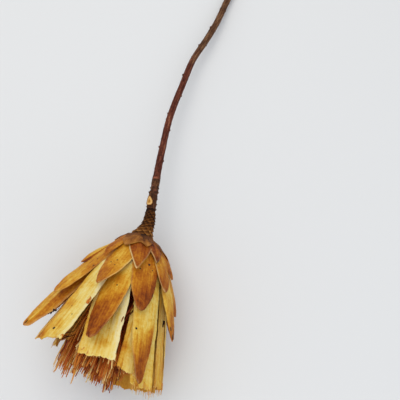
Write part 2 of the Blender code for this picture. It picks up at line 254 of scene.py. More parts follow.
def setFloats(mesh, name, values):
    layer = mesh.attributes.new(name, "FLOAT", "POINT")
    layer.data.foreach_set("value", values)


def setVectors(mesh, name, vectors):
    layer = mesh.attributes.new(name, "FLOAT_VECTOR", "POINT")
    layer.data.foreach_set("vector", [part for vector in vectors for part in vector])


# the UV map is in millimetres
def setPlaces(mesh, places):
    uvs = mesh.uv_layers.active.data
    for loop in mesh.loops:
        uvs[loop.index].uv = places[loop.vertex_index]
    mesh.uv_layers.active.name = "UVMap"


# bract materials

# Dried bract, outer face: waxy leaf skin that dries from straw yellow to brown towards the tip.
# The attribute tan says how far; fine veins run along it, and its margin stays pale.
bractLook = {
    "stops": (
        (0.00, "#eadea6"), (0.16, "#e8d075"), (0.32, "#deb343"), (0.46, "#cd8f22"),
        (0.60, "#b56d14"), (0.74, "#964b0d"), (0.88, "#6e300b"), (1.00, "#301008"),
    ),
    "margin": "#efd593",
    "marginWidth": 1.3,  # mm
    "rim": 0.02,  # how pale the margin is, where a blade's own rims say nothing else
    "fleck": "#5d2c12",
    "veins": 0.075,  # how far the veins, stains and mottling shift the tan
    "stains": 0.11,
    "mottling": 0.09,
    "roughness": 0.5,
}
# Inner face: never saw the sun, so it dries to dull gold.
innerStops = (
    (0.00, "#e0b860"), (0.30, "#d19530"), (0.60, "#b0681c"), (0.85, "#854012"), (1.00, "#3a180a"),
)


def makeBractMaterial(name, stops, roughness, marginStrength, stains=bractLook["stains"]):
    material, tree, shader = newMaterial(name)
    uv = addNode(tree, "UVMap", uv_map="UVMap")
    tan, edge, rim = (
        addNode(tree, "Attribute", attribute_name=layer).outputs["Fac"] for layer in ("tan", "edge", "rim"))
    # veins about 0.8 mm apart, long and thin, cloudy stains some 8 mm across, and mottling some 2 mm across:
    # scale, detail, roughness, distortion, shift
    patterns, shifts = [], []
    for scale, detail, rough, warp, shift in (
            ((0.9, 0.035, 1.0), 4.0, 0.6, 0.0, bractLook["veins"]), ((0.16, 0.08, 1.0), 5.0, 0.62, 0.6, stains),
            ((0.55, 0.42, 1.0), 4.0, 0.7, 0.0, bractLook["mottling"])):
        place = addNode(tree, "Mapping", {"Scale": scale, "Vector": uv})
        pattern = addNode(tree, "TexNoise", {"Scale": 1.0, "Detail": detail, "Roughness": rough, "Distortion": warp,
                                             "Vector": place})
        patterns.append(pattern)
        shifts.append(addNode(tree, "MapRange", {"From Min": 0.3, "From Max": 0.7, "To Min": -shift, "To Max": shift,
                                                 "Value": pattern}))
    veins, clouds = patterns[:2]
    twoShifts = addNode(tree, "Math", {0: shifts[0], 1: shifts[1]}, operation="ADD")
    allShifts = addNode(tree, "Math", {0: twoShifts, 1: shifts[2]}, operation="ADD")
    tone = addNode(tree, "Math", {0: tan, 1: allShifts}, operation="ADD", use_clamp=True)
    ramp = addNode(tree, "ValToRGB", {"Fac": tone}, stops)
    # pale dry margin
    marginNoise = addNode(tree, "Math", {0: clouds, 1: 1.1, 2: -0.55}, operation="MULTIPLY_ADD")
    edgeShift = addNode(tree, "Math", {0: edge, 1: marginNoise}, operation="ADD")
    marginBand = addNode(tree, "MapRange", {"From Min": 0.2, "From Max": bractLook["marginWidth"],
                                            "To Min": marginStrength, "To Max": 0.0, "Value": edgeShift},
                         interpolation_type="SMOOTHSTEP")
    marginMask = addNode(tree, "Math", {0: marginBand, 1: rim}, operation="MULTIPLY")
    margin = addNode(tree, "Mix", {0: marginMask, 6: ramp, 7: toLinear(bractLook["margin"])}, data_type="RGBA")
    # flecks: small brown points of mould and insect marks, one every 6 mm or so
    fleckPlace = addNode(tree, "Mapping", {"Scale": (0.17, 0.14, 1.0), "Vector": uv})
    flecks = addNode(tree, "TexVoronoi", {"Scale": 1.0, "Randomness": 1.0, "Vector": fleckPlace}, feature="F1")
    fleckMask = addNode(tree, "MapRange", {"From Min": 0.03, "From Max": 0.07, "To Min": 0.7, "To Max": 0.0,
                                           "Value": flecks}, interpolation_type="SMOOTHSTEP")
    fleckChance = addNode(tree, "SeparateColor", {"Color": flecks.outputs["Color"]})
    fleckSome = addNode(tree, "Math", {0: fleckChance, 1: 0.55}, operation="GREATER_THAN")
    fleckHere = addNode(tree, "Math", {0: fleckMask, 1: fleckSome}, operation="MULTIPLY")
    colour = addNode(tree, "Mix", {0: fleckHere, 6: margin.outputs[2], 7: toLinear(bractLook["fleck"])},
                     data_type="RGBA")
    # waxy where it is yellow, dull where it has browned
    gloss = addNode(tree, "MapRange", {"From Min": 0.2, "From Max": 0.8, "To Min": roughness,
                                       "To Max": roughness + 0.16, "Value": tone})
    relief = addNode(tree, "Math", {0: veins, 1: 0.6, 2: clouds}, operation="MULTIPLY_ADD")
    bump = addNode(tree, "Bump", {"Strength": 0.5, "Distance": 0.35 * mm, "Height": relief})
    setInputs(tree, shader, {"Base Color": colour.outputs[2], "Roughness": gloss, "IOR": 1.4,
                             "Specular IOR Level": 0.2, "Normal": bump})
    return material


# Collar bracts: the oldest and thinnest, weathered to a dull brown
collarStops = (
    (0.00, "#cf9a4c"), (0.36, "#aa6e2a"), (0.60, "#87501c"), (0.80, "#5e3412"), (1.00, "#2e1608"),
)

bractOuter = makeBractMaterial("dried bract skin", bractLook["stops"], bractLook["roughness"], 1.0)
bractInner = makeBractMaterial("dried bract inner face", innerStops, 0.55, 0.5)
strapOuter = makeBractMaterial("dried strap skin", bractLook["stops"], 0.48, 1.0, stains=0.06)
collarOuter = makeBractMaterial("weathered bract skin", collarStops, 0.62, 1.0, stains=0.22)


# Torn or cut edge of a bract: pale fibres, no skin, so it is dull and light
def makeRimMaterial():
    material, tree, shader = newMaterial("dried bract torn edge")
    uv = addNode(tree, "UVMap", uv_map="UVMap")
    tan = addNode(tree, "Attribute", attribute_name="tan").outputs["Fac"]
    grain = addNode(tree, "TexNoise", {"Scale": 0.8, "Detail": 3.0, "Vector": uv})
    shift = addNode(tree, "Math", {0: grain, 1: 0.4, 2: -0.22}, operation="MULTIPLY_ADD")
    tone = addNode(tree, "Math", {0: tan, 1: 0.75, 2: shift}, operation="MULTIPLY_ADD")
    ramp = addNode(tree, "ValToRGB", {"Fac": tone},
                   ((0.0, "#e6cb80"), (0.3, "#c8983e"), (0.5, "#a4661c"), (0.7, "#743a10"), (1.0, "#3c1806")))
    setInputs(tree, shader, {"Base Color": ramp, "Roughness": 0.85, "Specular IOR Level": 0.05})
    return material


bractRim = makeRimMaterial()
print("bract materials made")

# bracts

# Each row: azimuth, attached at, length, width, leans at base, middle and tip, twist, roll, as in the solids,
# then tan from root to end, and where the tip browns: from which share, its slant and how much.
# coarse: steps of a centre line, as in the solids; crumple: height of the smallest wrinkles in mm
collarBracts = {
    "name": "collarBract", "cut": False, "rows": 26, "columns": 20, "coarse": 3, "skin": collarOuter, "crumple": 0.45,
    "outline": (0.80, 0.95, 1.0, 0.86, 0.52, 0.08),
    "blades": (
        (-14, 0.8, 26, 17, (62, 36, 32), 0, 4, (0.80, 0.56, 0.40), (0.86, 0.0, 0.40)),
        (14, 0.8, 22, 12, (62, 43, 40), 4, 0, (0.88, 0.70, 0.52), (0.84, 0.0, 0.36)),
        (60, 0.8, 18, 11, (62, 40, 36), 0, 0, (0.84, 0.76, 0.74), (0.8, 0.0, 0.06)),
        (-62, 0.8, 17, 12, (60, 38, 34), 0, 0, (0.82, 0.74, 0.72), (0.8, 0.0, 0.06)),
        (104, 0.8, 18, 12, (62, 40, 36), 0, 0, (0.84, 0.76, 0.74), (0.8, 0.0, 0.06)),
        (150, 0.8, 18, 12, (62, 40, 36), 0, 0, (0.82, 0.74, 0.72), (0.8, 0.0, 0.06)),
        (196, 0.8, 18, 12, (62, 40, 36), 0, 0, (0.82, 0.74, 0.72), (0.8, 0.0, 0.06)),
        (246, 0.8, 18, 12, (62, 40, 36), 0, 0, (0.82, 0.72, 0.70), (0.8, 0.0, 0.06)),
    ),
}
basalBracts = {
    "name": "basalBract", "cut": False, "rows": 30, "columns": 16, "coarse": 4,
    "outline": (0.80, 0.95, 1.0, 0.86, 0.52, 0.08),
    "blades": (
        (4, 1.0, 44, 17, (60, 30, 32), 9, 6, (0.82, 0.76, 0.66), (0.75, 0.0, 0.06)),
        (40, 1.0, 31, 13, (64, 28, 27), -2, -6, (0.86, 0.82, 0.78), (0.7, 0.0, 0.08)),
        (-41, 1.2, 40, 11, (60, 36, 29), 12, -14, (0.72, 0.60, 0.62), (0.7, 0.0, 0.10)),
        (-104, 1.1, 24, 14, (58, 43, 40), 0, 0, (0.60, 0.52, 0.58), (0.7, 0.0, 0.12)),
        (92, 1.0, 22, 13, (62, 38, 34), 0, 0, (0.74, 0.66, 0.66), (0.7, 0.0, 0.10)),
        (136, 1.4, 30, 14, (60, 36, 34), 0, 0, (0.70, 0.58, 0.62), (0.7, 0.0, 0.12)),
        (176, 1.0, 28, 14, (58, 34, 32), 0, 0, (0.68, 0.56, 0.60), (0.7, 0.0, 0.12)),
        (216, 1.4, 30, 14, (60, 38, 36), 0, 0, (0.66, 0.55, 0.58), (0.7, 0.0, 0.12)),
    ),
}
shortBracts = {
    "name": "shortBract", "cut": False, "rows": 44, "columns": 20, "coarse": 5,
    "outline": (0.60, 0.88, 1.0, 0.98, 0.78, 0.24),
    "blades": (
        (-13, 3.0, 61, 18, (62, 21.8, 31), -3, 9, (0.50, 0.46, 0.54), (0.70, -0.12, 0.08)),
        (57, 4.0, 46, 16, (62, 25, 24), -2, 0, (0.64, 0.58, 0.60), (0.7, 0.0, 0.10)),
        (80, 2.0, 34, 9, (64, 28, 25), -2, 16, (0.64, 0.60, 0.62), (0.7, 0.0, 0.10)),
        (-68, 2.1, 44, 11.5, (55, 35, 33), 0, -40, (0.44, 0.34, 0.44), (0.7, 0.0, 0.12)),
        (122, 2.4, 46, 17, (60, 29, 26), 0, 0, (0.56, 0.52, 0.58), (0.65, 0.0, 0.14)),
        (158, 3.0, 44, 17, (58, 27, 22), 0, 0, (0.54, 0.50, 0.58), (0.65, 0.1, 0.14)),
        (196, 2.4, 46, 17, (58, 27, 22), 0, 0, (0.54, 0.48, 0.56), (0.65, 0.0, 0.14)),
        (236, 3.0, 48, 17, (60, 33, 31), 0, 0, (0.50, 0.46, 0.54), (0.65, -0.1, 0.14)),
    ),
}
longBracts = {
    "name": "longBract", "cut": False, "rows": 72, "columns": 24, "coarse": 7,
    "outline": (0.60, 0.88, 1.0, 0.98, 0.80, 0.26),
    "blades": (
        # longBract01's first two tan values keep its root end palest: painted light, lifting the shadow that
        # shortBract01 casts there
        (-2, 5.2, 92, 18, (60, 15.5, 24.5), -1, 26, (0.06, 0.0, 0.42, 0.56, 0.56), (0.64, -0.02, 0.19)),
        (24, 4.0, 67, 19, (62, 21, 24), 3, 0, (0.64, 0.56, 0.58), (0.62, 0.06, 0.16)),
        (88, 3.5, 57, 18, (62, 25, 21), 0, 14, (0.54, 0.50, 0.56), (0.7, 0.0, 0.14)),
        (-55, 3.5, 70, 18.5, (58, 26, 27), -8, -23, (0.36, 0.48, 0.38), (0.76, -0.10, 0.14)),
        (112, 4.0, 70, 20, (60, 24, 22), 0, 0, (0.50, 0.46, 0.54), (0.6, 0.0, 0.2)),
        (146, 4.4, 66, 20, (58, 21, 18), 0, 0, (0.48, 0.42, 0.52), (0.6, 0.1, 0.2)),
        (180, 4.0, 70, 21, (58, 21, 18), 0, 0, (0.46, 0.42, 0.52), (0.6, 0.0, 0.22)),
        (214, 4.4, 68, 20, (58, 22, 18), 0, 0, (0.44, 0.40, 0.50), (0.6, -0.1, 0.2)),
        (250, 4.0, 70, 20, (60, 28, 27), 0, 0, (0.42, 0.40, 0.50), (0.6, 0.0, 0.18)),
        (72, 5.0, 75, 20, (62, 21, 22), 0, 8, (0.32, 0.32, 0.50), (0.66, 0.10, 0.18)),
        (-72, 5.0, 95.5, 16, (55, 25, 24.5), -3, -38, (0.36, 0.38, 0.40), (0.93, 0.0, 0.30)),
        (35, 6.0, 108, 18, (57, 17, 22), 3, -6, (0.30, 0.26, 0.46), (0.66, 0.12, 0.30)),
        (130, 5.4, 92, 20, (58, 20, 18), 0, 0, (0.36, 0.36, 0.50), (0.6, 0.0, 0.24)),
        (163, 5.4, 96, 20, (56, 18, 17), 0, 0, (0.36, 0.34, 0.50), (0.64, 0.1, 0.26)),
        (197, 5.4, 92, 20, (56, 18, 17), 0, 0, (0.34, 0.34, 0.48), (0.62, 0.0, 0.26)),
        (231, 5.4, 90, 20, (58, 22, 20), 0, 0, (0.34, 0.34, 0.48), (0.6, -0.1, 0.24)),
        (265, 5.6, 75, 20, (57, 23, 21), 0, -6, (0.34, 0.34, 0.46), (0.62, 0.0, 0.22)),
    ),
}
straps = {
    "name": "strap", "cut": True, "rows": 84, "columns": 40, "coarse": 7, "skin": strapOuter, "crumple": 0.28,
    "outline": (0.45, 0.60, 0.84, 1.0, 1.0, 1.0),
    "blades": (
        (-30, 6.0, 98, 19, (58, 16, 26), -1, 0, (0.20, 0.08, 0.14, 0.26), (0.95, 0.0, 0.08)),
        (-12, 6.5, 96, 23, (56, 12, 13), 17, 0, (0.22, 0.06, 0.22), (0.95, 0.0, 0.04)),
        (41, 7.0, 99, 16, (54, 13.5, 16), -6, 16, (0.14, 0.04, 0.22), (0.95, 0.0, 0.04)),
        (40, 7.6, 104, 16.8, (55, 11.5, 17.5), 8, 6, (0.26, 0.16, 0.26), (0.95, 0.0, 0.04)),
        (74, 7.5, 99, 14, (56, 12.5, 16), 2, 9, (0.32, 0.22, 0.36), (0.95, 0.0, 0.04)),
        (104, 7.0, 99, 22, (56, 15, 14), 0, 0, (0.32, 0.22, 0.34), (0.95, 0.0, 0.04)),
        (128, 7.5, 100, 22, (54, 13, 14), 0, 0, (0.30, 0.20, 0.32), (0.95, 0.0, 0.04)),
        (154, 7.0, 101, 22, (52, 11, 12), 0, 0, (0.30, 0.20, 0.30), (0.95, 0.0, 0.04)),
        (181, 7.5, 98, 22, (52, 10, 11), 0, 0, (0.30, 0.22, 0.32), (0.95, 0.0, 0.04)),
        (208, 7.0, 97, 22, (52, 11, 12), 0, 0, (0.30, 0.20, 0.30), (0.95, 0.0, 0.04)),
        (230, 7.5, 92, 20, (54, 9, 7), 0, 0, (0.30, 0.20, 0.32), (0.95, 0.0, 0.04)),
        (266, 7.0, 90, 20, (56, 9, 7), 0, -12, (0.30, 0.18, 0.30), (0.95, 0.0, 0.04)),
        (286, 7.2, 93, 21, (55, 14, 18), 4, -10, (0.38, 0.34, 0.36), (0.95, 0.0, 0.04)),
    ),
}


# half the width of a bract; its outline runs through shares of its full width, and a pointed tip is rounded off
def halfWidth(share, width, outline):
    half = 0.5 * width * curveThrough(outline, min(max(share, 0.0), 1.0))
    if outline[-1] < 0.9:
        half *= math.sqrt(max(1.0 - (max(share - bloom["tipFrom"], 0.0) / bloom["tipOver"]) ** 2, 0.0))
    return half


# centre line of a bract as (distance, radius, lean), at the solids' own few steps
def centreLine(attach, length, leans, steps):
    first, middle, last = (math.radians(lean) for lean in leans)
    distance = attach
    radius = bloom["rootRadius"] + bloom["rootSlope"] * attach
    line = []
    for step in range(steps + 1):
        share = step / steps
        lean = middle + (first - middle) * math.exp(-length * share / bloom["baseCurve"]) + (last - middle) * share ** 2
        if step:
            distance += math.cos(0.5 * (lean + leanBefore)) * length / steps
            radius += math.sin(0.5 * (lean + leanBefore)) * length / steps
        leanBefore = lean
        line.append(Vector((distance, radius, lean)))
    return line


# what a blade needs for placing points on it
def readBlade(layer, index):
    azimuth, attach, length, width, leans, twist, roll, tan, tip = layer["blades"][index]
    extra = bladeExtras.get((layer["name"], index), {})
    return {
        "azimuth": azimuth, "length": length, "width": width, "twist": twist, "roll": roll, "tan": tan, "tip": tip,
        "cut": layer["cut"], "outline": extra.get("outline", layer["outline"]),
        "line": centreLine(attach, length, leans, layer["coarse"]),
        "seed": 17.3 * index + 5.1 * len(layer["blades"]), "extra": extra, "crumple": layer.get("crumple", 0.12),
    }


# how the torn end of a strap runs, in mm: steps, teeth and fibres, each with its height and how many across
def tornEnd(blade, across):
    reach = 0.0
    for height, teeth, shift in ((1.6, 1.6, 1.0), (1.0, 7.0, 4.0), (0.7, 21.0, 9.0)):
        reach += height * noise.noise(Vector((across * teeth, blade["seed"], shift)))
    return reach + blade["extra"].get("endSlope", 0.0) * across


# point on a blade at a share of its length and from -1 to 1 across it, with the directions it faces and runs
def bladePoint(blade, share, across):
    distance, radius, lean = curveThrough(blade["line"], min(max(share, 0.0), 1.0))
    turn = math.radians(blade["azimuth"] + blade["twist"] * share)
    outward = outwardAt(turn)
    sideways = sideAxis * math.cos(turn) - upAxis * math.sin(turn)
    faceOut = outward * math.cos(lean) - alongAxis * math.sin(lean)
    forward = alongAxis * math.cos(lean) + outward * math.sin(lean)
    along = share * blade["length"]
    seed = blade["seed"]
    half = halfWidth(share, blade["width"], blade["outline"])
    side = 1.0 if across > 0 else 2.0
    for depth, wave, shift in ((0.04, 9.0, 0.0), (0.035, 2.6, 3.0)):  # wavy edge: share of the width, mm per wave
        half *= 1.0 + depth * noise.noise(Vector((along / wave, seed, side + shift)))
    offset = across * half
    lift = offset * math.tan(math.radians(blade["roll"]) * share)
    lift -= offset * offset / (2.0 * max(radius, bloom["minCup"]))
    free = smoothStep(share / 0.35)  # a blade's root is held by the blades round it
    for place, angle in blade["extra"].get("creases", ()):
        beyond = (across - place) * half
        lift += math.tan(math.radians(angle)) * free * (max(beyond, 0.0) if place >= 0 else max(-beyond, 0.0))
    # waves, highest at the edges, then ribs and wrinkles: height in mm, fading, mm across and along
    for height, fading, wide, long, shift in (
            (0.7, 0.35 + 0.65 * abs(across), 9.0, 17.0, 0.0), (0.3, 1.0, 2.2, 14.0, 3.0),
            (blade["crumple"], 1.0, 2.6, 4.5, 6.0)):
        lift += free * height * fading * noise.noise(Vector((offset / wide, along / long, seed + shift)))
    reach = 0.0
    if blade["cut"]:
        reach = tornEnd(blade, across) * smoothStep((share - 0.82) / 0.18)
    centre = bloomCentre(distance) + outward * radius * mm
    point = centre + (sideways * offset + faceOut * lift + forward * reach) * mm
    above = point.z / mm - bloom["pressedBelow"]
    if above < 0.0:
        point.z = (bloom["pressedTo"] + bloom["pressedOver"] * math.exp(above / bloom["pressedOver"])) * mm
    return point, faceOut, forward


# how far a blade has browned at a place on it, from 0 to 1
def bladeTan(blade, share, across):
    start, slant, gain = blade["tip"]
    extra = blade["extra"]
    length = blade["length"]
    value = blendOver(blade["tan"], share)
    patch = noise.noise(Vector((across * 1.3, share * length / 16.0, blade["seed"] + 7.0)))
    value += gain * smoothStep((share + slant * across + 0.07 * patch - start) / 0.2)
    value += 0.07 * patch
    left, right = extra.get("sides", (0.0, 0.0))
    value += left * max(-across, 0.0) ** 2 + right * max(across, 0.0) ** 2
    # painted shade: beyond a crease, the side folded down away from the light is made browner
    facetPlace, facetShade = extra.get("shadedFacet", (0.0, 0.0))
    value += facetShade * smoothStep((across - facetPlace) / 0.1)
    # darker streaks; those that lie on a crease are painted shade in its fold
    for place, strength in extra.get("lines", ()):
        wobble = 0.14 * noise.noise(Vector((share * 5.0, place * 7.0, blade["seed"])))
        fade = 0.5 + noise.noise(Vector((share * 9.0, place * 3.0, blade["seed"] + 2.0)))
        value += strength * max(fade, 0.0) * math.exp(-((across - place - wobble) / 0.06) ** 2)
    for spotShare, spotAcross, spotSize, spotTan in extra.get("spots", ()):
        apart = math.hypot((share - spotShare) * length, (across - spotAcross) * 0.5 * blade["width"])
        value += spotTan * math.exp(-(apart / spotSize) ** 2)
    return min(max(value, 0.0), 1.0)


# What only some blades have, by layer and place in it. outline: instead of the layer's; creases: where across, and by
# how many degrees; endSlope: mm that a torn end slants; sides: browner along the left and right edge; shadedFacet:
# where across, and how much browner beyond it, a painted shade on the side folded down away from the light; lines:
# darker streaks, where across and how strong, those on a crease painting the shade in its fold; rims: how pale the
# left and right margins are; spots: share, across, mm, browner by
bladeExtras = {
    ("strap", 0): {"creases": ((0.5, 10), (-0.6, 8)), "sides": (0.26, -0.14), "endSlope": -1.2,
                   "lines": ((0.55, 0.22), (-0.25, 0.22), (0.15, 0.16)),
                   "spots": ((0.72, -0.35, 5.0, 0.24), (0.9, -0.1, 4.0, 0.14), (0.55, 0.1, 3.5, 0.14),
                             (0.98, -0.8, 4.0, 0.24))},
    ("strap", 1): {"creases": ((0.28, 26), (-0.55, -8), (-0.1, 9)), "sides": (0.12, -0.22), "endSlope": -1.0,
                   "lines": ((0.30, 0.42), (-0.15, 0.36), (0.05, 0.22), (0.62, 0.22)),
                   "spots": ((0.9, 0.25, 3.4, 0.24), (0.8, -0.2, 4.5, 0.16), (0.7, 0.25, 3.0, 0.16))},
    ("strap", 2): {"creases": ((0.1, -20),), "sides": (0.24, 0.06), "endSlope": 2.5,
                   "lines": ((-0.74, 0.30), (0.1, 0.10)), "spots": ((0.85, -0.8, 3.0, 0.16),)},
    ("strap", 3): {"creases": ((0.25, 14), (-0.4, 10)), "sides": (0.05, 0.05), "lines": ((-0.4, 0.3), (0.3, 0.3))},
    ("strap", 4): {"creases": ((-0.4, 12),), "sides": (0.1, 0.15), "lines": ((0.1, 0.3), (0.55, 0.3))},
    ("longBract", 0): {"outline": (0.60, 0.88, 1.0, 0.98, 0.82, 0.34), "rims": (0.02, 0.12),
                       "spots": ((0.5, 0.0, 4.0, 0.12), (0.98, -0.5, 2.0, 0.2))},
    ("longBract", 1): {"rims": (0.12, 0.02), "sides": (0.0, 0.16)},
    ("longBract", 3): {"sides": (0.06, 0.14), "rims": (0.02, 0.12)},
    ("longBract", 9): {"outline": (0.60, 0.88, 1.0, 0.86, 0.54, 0.08)},
    ("shortBract", 3): {"outline": (0.60, 0.88, 1.0, 0.88, 0.58, 0.08), "creases": ((0.1, -30),), "shadedFacet": (0.1, 0.30)},
    ("longBract", 10): {"creases": ((0.3, -34),), "sides": (0.06, 0.0), "shadedFacet": (0.26, 0.20), "rims": (0.05, 0.2),
                        "spots": ((0.99, 0.0, 2.6, 0.34),)},
    ("longBract", 11): {"rims": (0.2, 0.02)},
    ("shortBract", 0): {"outline": (0.60, 0.88, 1.0, 0.97, 0.72, 0.14), "sides": (0.08, 0.0), "rims": (0.02, 0.34),
                        "spots": ((0.75, 0.0, 3.0, 0.1),)},
    ("shortBract", 1): {"rims": (0.4, 0.05)},
    ("basalBract", 0): {"outline": (0.86, 0.98, 1.0, 0.80, 0.46, 0.08), "rims": (0.7, 0.2)},
    ("basalBract", 1): {"rims": (0.4, 0.1)},
}


def makeBlade(layer, index):
    blade = readBlade(layer, index)
    bpy.ops.mesh.primitive_grid_add(x_subdivisions=layer["columns"], y_subdivisions=layer["rows"], size=2.0)
    item = bpy.context.object
    mesh = item.data
    leftRim, rightRim = blade["extra"].get("rims", (bractLook["rim"], bractLook["rim"]))
    tans, edges, rims, full, places = [], [], [], [], []
    for vertex in mesh.vertices:
        across = -vertex.co.x  # so that the faces look outward
        share = 0.5 * (vertex.co.y + 1.0)
        half = halfWidth(share, blade["width"], blade["outline"])
        places.append((across * half + 60.0 * index, share * blade["length"] + blade["seed"]))
        tans.append(bladeTan(blade, share, across))
        fromEnd = (1.0 - share) * blade["length"]
        edges.append(min((1.0 - abs(across)) * half, fromEnd if blade["cut"] else 0.4 * fromEnd))
        rims.append(leftRim + (rightRim - leftRim) * smoothStep(0.5 + 2.0 * across))
        full.append(smoothStep((1.0 - abs(across)) / 0.3))
        vertex.co = bladePoint(blade, share, across)[0]
    for name, values in (("tan", tans), ("edge", edges), ("rim", rims)):
        setFloats(mesh, name, values)
    setPlaces(mesh, places)
    group = item.vertex_groups.new(name="full")
    for number, weight in enumerate(full):
        group.add([number], weight, "REPLACE")
    for material in (layer.get("skin", bractOuter), bractInner, bractRim):
        mesh.materials.append(material)
    thicken(item, thickness=bloom["bladeThickness"] * mm, offset=0.0, vertex_group="full",
            thickness_vertex_group=bloom["edgeThickness"], material_offset=1, material_offset_rim=2)
    bpy.ops.object.shade_smooth_by_angle(angle=math.radians(50))
    enter(item, f"{layer['name']}{index + 1:02d}", "bracts")


for layer in (collarBracts, basalBracts, shortBracts, longBracts, straps):
    for index in range(len(layer["blades"])):
        makeBlade(layer, index)
print("bracts made")


# a solid rolled from a grid: placeAt gives the point for a share along and a turn round, and the seam is welded.
# piece: its rings and sides, and the mm around and along it that its patterns go by; floats: attributes of its own
def rollTube(piece, placeAt, material, floats=None):
    bpy.ops.mesh.primitive_grid_add(x_subdivisions=piece["sides"], y_subdivisions=piece["rings"], size=2.0)
    item = bpy.context.object
    mesh = item.data
    spots = [(0.5 * (v.co.y + 1.0), 0.5 * (v.co.x + 1.0) * math.tau) for v in mesh.vertices]
    for vertex, (share, turn) in zip(mesh.vertices, spots):
        vertex.co = placeAt(share, turn)
    for name, function in (floats or {}).items():
        setFloats(mesh, name, [function(share, turn) for share, turn in spots])
    around, length = piece["around"], piece["length"]
    radius = around / math.tau  # the attribute skin is a place on the surface in mm, with no seam
    skins = [(math.cos(turn) * radius, math.sin(turn) * radius, share * length) for share, turn in spots]
    setVectors(mesh, "skin", skins)
    setPlaces(mesh, [(turn / math.tau * around, share * length) for share, turn in spots])
    bpy.ops.object.mode_set(mode="EDIT")
    bpy.ops.mesh.select_all(action="SELECT")
    bpy.ops.mesh.remove_doubles(threshold=1e-6)
    bpy.ops.mesh.fill_holes(sides=0)
    bpy.ops.mesh.normals_make_consistent(inside=False)
    bpy.ops.object.mode_set(mode="OBJECT")
    bpy.ops.object.shade_smooth()
    mesh.materials.append(material)
    return item


# a piece turned about the bloom's axis, by its profile
def turnPiece(piece, material, floats=None):
    profile = [Vector(point) for point in piece["profile"]]
    return rollTube(piece, lambda share, turn: bloomPoint(*curveThrough(profile, share), turn), material, floats)


# receptacle: the woody cup that the bracts grow from, seen only between their roots

receptacle = {
    "profile": ((0.3, 7.6), (4.0, 10.4), (8.0, 13.0), (12.0, 14.4), (16.0, 14.2), (20.0, 11.2), (22.0, 7.2)),
    "rings": 18,
    "sides": 40,
    "around": 80.0,
    "length": 24.0,
    "colours": ((0.3, "#2e1609"), (0.7, "#4a2812")),
}


def makeReceptacle():
    # Pith: soft and dry, with no gloss
    material, tree, shader = newMaterial("dry pith")
    place = addNode(tree, "TexCoord")
    grain = addNode(tree, "TexNoise", {"Scale": 400.0, "Detail": 4.0, "Vector": place.outputs["Object"]})
    ramp = addNode(tree, "ValToRGB", {"Fac": grain}, receptacle["colours"])
    setInputs(tree, shader, {"Base Color": ramp, "Roughness": 0.85})
    enter(turnPiece(receptacle, material), "receptacle", "bracts")


makeReceptacle()
print("receptacle made")

# brush of dry florets

brush = {
    "core": {
        "profile": ((22.4, 7.0), (28.0, 12.0), (44.0, 16.0), (62.0, 17.0), (74.0, 13.0), (80.0, 5.0)),
        "rings": 16, "sides": 36, "around": 100.0, "length": 60.0,
    },
    "rootCentre": 72.0,
    "rootRim": 38.0,
    "rootRadius": 15.0,
    "rootScatter": 3.0,
    "mouthStart": 7.0,
    "mouthSlope": 0.27,
    "mouthAt": 106.0,  # mm along the axis, where the places across the brush are measured
    "narrowing": 0.24,  # towards -X, where the bracts close in
    # how far the brush reaches, in mm along the axis, by the place across it: its end is ragged and notched
    "ends": ((-28, 100), (-25, 109), (-18, 107), (-15, 95), (-13, 98), (-10, 105), (-2, 107), (6, 108), (11, 107),
             (13, 101), (16, 103), (18, 97), (24, 95), (36, 98)),
    "tufts": 66,
    "tuftShort": (-1.5, 7.0),  # mm by which a tuft's tip stays short of the end
    "tuftTones": (-0.25, 0.22),
    "paintedLight": 0.34,  # how much paler the -X side is painted: painted light, lifting the shade where the bracts close in
    "gather": 0.80,  # how far a strand's tip is drawn to its tuft's
    # The kinds of strand. inner: from which spread they grow; start: how far towards the tip their root is moved;
    # short: mm that they stay short of the end; shade: tone of the root; tip: added at the tip; stray: mm
    "strands": (
        {"name": "styles", "count": 440, "radius": 0.6, "rings": 9, "sides": 4, "inner": 0.0, "start": 0.0,
         "short": (-1.0, 12.0), "flat": (0.35, 0.9), "shade": (0.04, 0.50), "tip": (0.25, 0.45), "stray": 1.8},
        {"name": "perianthSlivers", "count": 120, "radius": 0.95, "rings": 9, "sides": 4, "inner": 0.6, "start": 0.45,
         "short": (-1.0, 14.0), "flat": (0.15, 0.3), "shade": (0.26, 0.58), "tip": (0.10, 0.30), "stray": 3.0},
        {"name": "floretHairs", "count": 320, "radius": 0.15, "rings": 6, "sides": 3, "inner": 0.0, "start": 0.5,
         "short": (-2.0, 16.0), "flat": (0.6, 1.0), "shade": (0.14, 0.40), "tip": (0.12, 0.32), "stray": 2.6},
    ),
    "seed": 21,
}


def makeFloretMaterial():
    # Dry styles and perianth hairs: hard red-brown threads, matt, paler where their tips have frayed
    material, tree, shader = newMaterial("dried floret thread")
    toTip, shade = (addNode(tree, "Attribute", attribute_name=name).outputs["Fac"] for name in ("toTip", "shade"))
    tone = addNode(tree, "Math", {0: toTip, 1: shade}, operation="ADD", use_clamp=True)
    ramp = addNode(tree, "ValToRGB", {"Fac": tone}, ((0.0, "#240b03"), (0.2, "#561c05"), (0.42, "#923c0c"),
                                                     (0.62, "#bc5f17"), (0.82, "#d89038"), (1.0, "#efcc84")))
    setInputs(tree, shader, {"Base Color": ramp, "Roughness": 0.65, "Specular IOR Level": 0.2})
    return material


floretThread = makeFloretMaterial()


# a closed strand of unit width standing from 0 to 1 on Z, to be copied
def unitStrand(rings, sides):
    return rollTube({"rings": rings, "sides": sides, "around": 1.0, "length": 1.0},
                    lambda share, turn: Vector((math.cos(turn), math.sin(turn), share)), floretThread)


